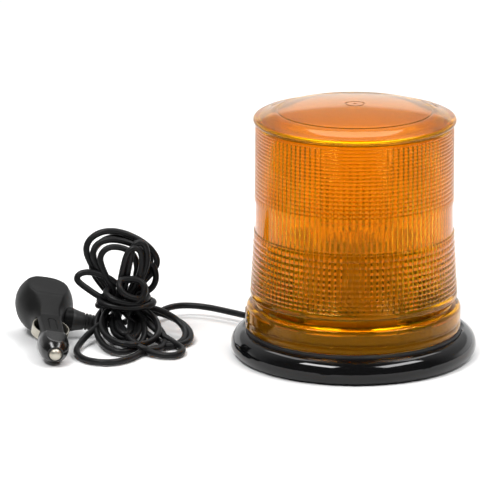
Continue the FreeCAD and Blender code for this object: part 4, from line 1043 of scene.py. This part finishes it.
# Long turns after it
TURNS_AFTER_LOOP = [
    [
        (-155.7, 35, 28.3), (-149.5, 36, 35.2), (-144.7, 37, 44.8), (-142.2, 37.6, 49),
        (-138.5, 38, 50.5), (-135.2, 38, 48.8), (-133.2, 37, 39.8), (-137.3, 35, 32.6),
        (-144.7, 33, 31.1), (-148.5, 31.8, 29.2), (-149.6, 33, 26.2), (-147.6, 36.3, 23),
        (-138.8, 36.8, 20), (-129.2, 37.4, 17), (-119, 36, 11), (-112.7, 27.4, 5), (-115.9, 8, 3),
        (-125.3, 3.3, 3), (-136.2, 9.8, 6), (-145.2, 19.2, 11), (-153.6, 31.1, 16), (-160.7, 40.7, 21),
    ],
    [
        (-161.7, 30, 29.8), (-167.1, 31, 39.4), (-173.2, 33, 48.7), (-177.2, 35, 57.4),
        (-174.5, 37, 64.6), (-165.7, 38, 67.8), (-154.8, 39, 66.1), (-144, 39, 61.2), (-138.6, 38, 53),
        (-140.6, 36, 44.4), (-146, 33, 37.4), (-151.5, 31, 29.5), (-148.9, 34.9, 22),
        (-139.2, 28.1, 19), (-132.3, 21, 14), (-131.4, 6.9, 9), (-139.3, -4.3, 6), (-151.8, -13.3, 8),
        (-162.8, -7.2, 9), (-170.7, 8.7, 12), (-169.8, 25.3, 17), (-163.3, 37.3, 22),
    ],
    [
        (-158.7, 22, 31.4), (-158, 23, 40.3), (-155.9, 24, 51.3), (-153.1, 25, 61.6),
        (-149.3, 25.6, 64.9), (-145.5, 26, 64.5), (-143, 26, 60.6), (-143, 25, 51), (-147.2, 24, 40),
        (-152.6, 23, 31.1), (-153.9, 45.6, 21.9), (-152.7, 43.8, 12.1), (-150.8, 24.4, 13),
        (-151.6, 2.5, 11), (-155.7, 0.5, 11.6), (-159, 8, 13.1), (-160.2, 22.4, 15),
        (-159.1, 40.2, 13.1), (-159.7, 42.4, 22.9),
    ],
    [
        (-160.9, 26, 28.1), (-169.7, 26, 28.8), (-179.2, 27, 34.9), (-187.3, 28, 41),
        (-187.3, 28.6, 44.3), (-184, 29.4, 46.5), (-178.5, 30, 46.8), (-169, 30, 44.6),
        (-159.6, 30, 38.3), (-152.8, 28, 29.7), (-152.2, 37.7, 22.4), (-150.5, 38.2, 16.1),
        (-148.2, 29.2, 13), (-147.1, 11.6, 9), (-151.4, 2, 8.4), (-157.3, 1.6, 8.8),
        (-162.6, 10.6, 10), (-163.8, 27.2, 15), (-163, 40.4, 14.3), (-159.8, 40.2, 23.7),
    ],
]
# The turns that tie the bundle at its waist
WRAPS = [
    (-160.8, 24, 24.2), (-163.7, 15.1, 27.3), (-168.8, 17, 27.2), (-174.5, 26, 23.9),
    (-169.5, 40, 24.1), (-155.3, 43, 26), (-140.8, 38, 26.1), (-133.7, 27, 26.4), (-140.3, 16, 26.1),
    (-152.4, 13, 25.5), (-166, 14, 27.4), (-173.7, 22, 28.6), (-168.1, 38, 28.9), (-154.5, 42, 30.6),
    (-142.1, 36, 30.9), (-138.4, 26, 30.2), (-143, 16, 28.9), (-152.4, 13, 29.1), (-162.5, 13, 31.9),
    (-168.8, 20, 34.8), (-163.8, 34, 36.4), (-153, 38, 39.5), (-142, 33, 38.8), (-140.4, 22, 34.9),
    (-144.3, 14, 31.6), (-153.7, 12, 35), (-157.4, 13.2, 39), (-158.5, 16.3, 42.7), (-156.5, 20, 44.7),
    (-145.7, 20, 44.7), (-140.9, 18, 40.3), (-141.6, 15, 33.4), (-149.7, 14, 28.1),
]


def cord_route():
    """Every point of the cord from the grommet to the plug, in metres."""
    away = Vector((GROMMET_END.x, GROMMET_END.y, 0)).normalized()
    route = [GROMMET_END, GROMMET_END + away * GROMMET_RUN * MM]
    points = list(LEAD)
    for turn in TURNS_BEFORE_LOOP:
        points += turn
    points += LOOP
    for turn in TURNS_AFTER_LOOP:
        points += turn
    points += WRAPS
    points.append(TAIL_IN_BUNDLE)
    route += [Vector(p) * MM for p in points]
    place = plug_matrix()
    route.append(place @ (Vector((RELIEF_END + RELIEF_RUN, RELIEF_AT, RELIEF_W)) * MM))
    route.append(place @ (Vector((RELIEF_END, RELIEF_AT, RELIEF_W)) * MM))
    return route


def build_cord():
    """The supply cord as one smooth curve."""
    route = cord_route()
    data = bpy.data.curves.new("supply_cord", "CURVE")
    data.dimensions = "3D"
    spline = data.splines.new("NURBS")
    spline.points.add(len(route) - 1)
    for point, place in zip(spline.points, route):
        point.co = (*place, 1.0)
        point.radius = sizes().cord_diameter / 2
    spline.order_u = 3
    spline.use_endpoint_u = True
    spline.resolution_u = 6
    data.bevel_depth = 1.0
    data.bevel_resolution = 5
    data.use_fill_caps = True
    cord = bpy.data.objects.new("supply_cord", data)
    bpy.context.scene.collection.objects.link(cord)
    jacket = jacket_finish()
    data.materials.append(jacket)
    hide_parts("cord_lead", "cord_hank", "cord_floor_loop", "cord_tail")
    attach(cord, "base")
    repaint(jacket, "cord_inner", "plug_cord_inner")
    repaint(moulding_finish("grommet_rubber", (0.013, 0.013, 0.014, 1.0), 0.45), "cable_grommet")
    return cord


def measured_length(cord):
    """Length of the cord's centreline."""
    bevel = cord.data.bevel_depth
    cord.data.bevel_depth = 0.0
    line = bpy.data.meshes.new_from_object(cord.evaluated_get(bpy.context.evaluated_depsgraph_get()))
    cord.data.bevel_depth = bevel
    places = [v.co.copy() for v in line.vertices]
    bpy.data.meshes.remove(line)
    return sum((b - a).length for a, b in zip(places, places[1:]))


# ------------------------------------------------------------------ stage
def build_stage():
    """Floor, studio light and camera."""
    clear_selection()
    bpy.ops.mesh.primitive_plane_add(size=14.0, location=(0, 0, -0.0002))
    floor = bpy.context.active_object
    floor.name = "studio_floor"
    f = Finish("studio_floor", {"Base Color": (0.93, 0.93, 0.93, 1.0), "Roughness": 0.7})
    f.feed("Base Color", f.mix(f.noise(3.0), (0.925, 0.925, 0.925, 1.0), (0.94, 0.94, 0.94, 1.0)))
    floor.data.materials.append(f.material)
    build_world()
    add_softbox("key_softbox", (-0.84, -0.76, 1.78), (1.0, 0.45), 27.0)
    add_softbox("fill_softbox", (1.0, -0.52, 1.7), (1.3, 0.5), 25.0)
    add_softbox("top_softbox", (0.0, 1.0, 2.0), (2.2, 1.2), 24.0)
    add_camera()


def build_world():
    """A dim studio with a white backdrop behind the object."""
    world = bpy.data.worlds.new("studio")
    bpy.context.scene.world = world
    world.use_nodes = True
    tree = world.node_tree
    back = tree.nodes["Background"]
    where = tree.nodes.new("ShaderNodeTexCoord")
    split = tree.nodes.new("ShaderNodeSeparateXYZ")
    tree.links.new(where.outputs["Generated"], split.inputs[0])
    behind = ramp_on(tree, split.outputs["Y"], 0.1, 0.5, 0.0, 1.0)
    below = ramp_on(tree, split.outputs["Z"], 0.27, 0.33, 1.0, 0.0)
    both = tree.nodes.new("ShaderNodeMath")
    both.operation = "MULTIPLY"
    tree.links.new(behind, both.inputs[0])
    tree.links.new(below, both.inputs[1])
    soft = ramp_on(tree, split.outputs["Y"], -0.1, 0.4, 0.1, 0.5)
    level = tree.nodes.new("ShaderNodeMath")
    level.operation = "MAXIMUM"
    tree.links.new(soft, level.inputs[0])
    bright = ramp_on(tree, both.outputs[0], 0.0, 1.0, 0.0, 1.15)
    tree.links.new(bright, level.inputs[1])
    tree.links.new(level.outputs[0], back.inputs["Strength"])
    back.inputs["Color"].default_value = (1.0, 1.0, 1.0, 1.0)


def ramp_on(tree, socket, low_in, high_in, low_out, high_out):
    """A Map Range node on a socket."""
    made = tree.nodes.new("ShaderNodeMapRange")
    tree.links.new(socket, made.inputs["Value"])
    for label, value in (("From Min", low_in), ("From Max", high_in), ("To Min", low_out),
                         ("To Max", high_out)):
        made.inputs[label].default_value = value
    return made.outputs[0]


def add_softbox(name, place, size, power):
    """A rectangular studio light aimed at the beacon."""
    clear_selection()
    bpy.ops.object.light_add(type="AREA", location=place)
    light = bpy.context.active_object
    light.name = name
    light.data.shape = "RECTANGLE"
    light.data.size, light.data.size_y = size
    light.data.energy = power
    aim = Vector((-0.02, 0.0, 0.08)) - Vector(place)
    light.rotation_mode = "QUATERNION"
    light.rotation_quaternion = aim.to_track_quat("-Z", "Y")


CAMERA_DISTANCE = 2.9
CAMERA_LOOK_DOWN = math.radians(15.5)
CAMERA_AIM = Vector((-0.0698, 0.0, 0.0706))
CAMERA_LENS = 311.0


def add_camera():
    """A long lens in front of the object, looking a little down."""
    away = Vector((0, -math.cos(CAMERA_LOOK_DOWN), math.sin(CAMERA_LOOK_DOWN)))
    bpy.ops.object.camera_add(location=CAMERA_AIM + away * CAMERA_DISTANCE)
    camera = bpy.context.active_object
    camera.name = "studio_camera"
    camera.rotation_mode = "QUATERNION"
    camera.rotation_quaternion = (-away).to_track_quat("-Z", "Y")
    camera.data.lens = CAMERA_LENS
    camera.data.clip_end = 40.0
    scene = bpy.context.scene
    scene.camera = camera
    scene.view_settings.view_transform = "Standard"


# ------------------------------------------------------------------ operators and panel
class BEACON_OT_base(bpy.types.Operator):
    """Model the magnetic base, its boot and its housing."""

    bl_idname = "beacon.base"
    bl_label = "Magnetic base"

    def execute(self, context):
        build_base()
        return {"FINISHED"}


class BEACON_OT_electronics(bpy.types.Operator):
    """Finish the circuit board and what it carries."""

    bl_idname = "beacon.electronics"
    bl_label = "Electronics"

    def execute(self, context):
        build_electronics()
        return {"FINISHED"}


class BEACON_OT_flash_tube(bpy.types.Operator):
    """Model the tower, the dish and the flash tube."""

    bl_idname = "beacon.flash_tube"
    bl_label = "Flash tube"

    def execute(self, context):
        build_flash_tube()
        return {"FINISHED"}


class BEACON_OT_lens(bpy.types.Operator):
    """Model the amber lens with its rings and flutes."""

    bl_idname = "beacon.lens"
    bl_label = "Lens"

    def execute(self, context):
        build_lens()
        return {"FINISHED"}


class BEACON_OT_plug(bpy.types.Operator):
    """Model the accessory plug."""

    bl_idname = "beacon.plug"
    bl_label = "Plug"

    def execute(self, context):
        build_plug_shell()
        build_nose_cap()
        build_tip()
        build_relief()
        return {"FINISHED"}


class BEACON_OT_cord(bpy.types.Operator):
    bl_idname = "beacon.cord"
    bl_label = "Cord"

    def execute(self, context):
        cord = build_cord()
        length = measured_length(cord)
        print("cord length", length)
        plug_pieces = [bpy.data.objects[name] for name in PLUG_PIECES]
        plug_pieces += [NODES[name] for name in PLUG_INSIDES]
        return {"FINISHED"}


class BEACON_OT_stage(bpy.types.Operator):
    """Set the floor, the light and the camera."""

    bl_idname = "beacon.stage"
    bl_label = "Stage"

    def execute(self, context):
        build_stage()
        return {"FINISHED"}


class BEACON_PT_panel(bpy.types.Panel):
    """The beacon's steps and settings."""

    bl_idname = "BEACON_PT_panel"
    bl_label = "Warning beacon"
    bl_space_type = "VIEW_3D"
    bl_region_type = "UI"
    bl_category = "Beacon"

    def draw(self, context):
        for step in STEPS:
            self.layout.operator(step.bl_idname)
        for group in (context.scene.beacon_sizes, context.scene.beacon_colours):
            for label in group.__annotations__:
                self.layout.prop(group, label)


PLUG_INSIDES = (
    "plug_cord_inner", "plug_fuse", "plug_screws", "side_contact_left", "side_contact_right",
    "spring_seat",
)
PLUG_PIECES = (
    "plug_body", "nose_cap_moulding", "tip_contact", "tip_spring_coil", "relief_moulding",
)
STEPS = (
    BEACON_OT_base, BEACON_OT_electronics, BEACON_OT_flash_tube, BEACON_OT_lens, BEACON_OT_plug,
    BEACON_OT_cord, BEACON_OT_stage,
)


def register():
    for group in (BeaconSizes, BeaconColours, *STEPS, BEACON_PT_panel):
        bpy.utils.register_class(group)
    bpy.types.Scene.beacon_sizes = bpy.props.PointerProperty(type=BeaconSizes)
    bpy.types.Scene.beacon_colours = bpy.props.PointerProperty(type=BeaconColours)


def unregister():
    del bpy.types.Scene.beacon_sizes
    del bpy.types.Scene.beacon_colours
    for group in (BEACON_PT_panel, *STEPS, BeaconColours, BeaconSizes):
        bpy.utils.unregister_class(group)


def main():
    """Runs every step in order and keeps the sizes."""
    register()
    bpy.ops.beacon.base()
    bpy.ops.beacon.electronics()
    bpy.ops.beacon.flash_tube()
    bpy.ops.beacon.lens()
    bpy.ops.beacon.plug()
    bpy.ops.beacon.cord()
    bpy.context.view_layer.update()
    bpy.ops.beacon.stage()


if __name__ == "__main__":
    main()
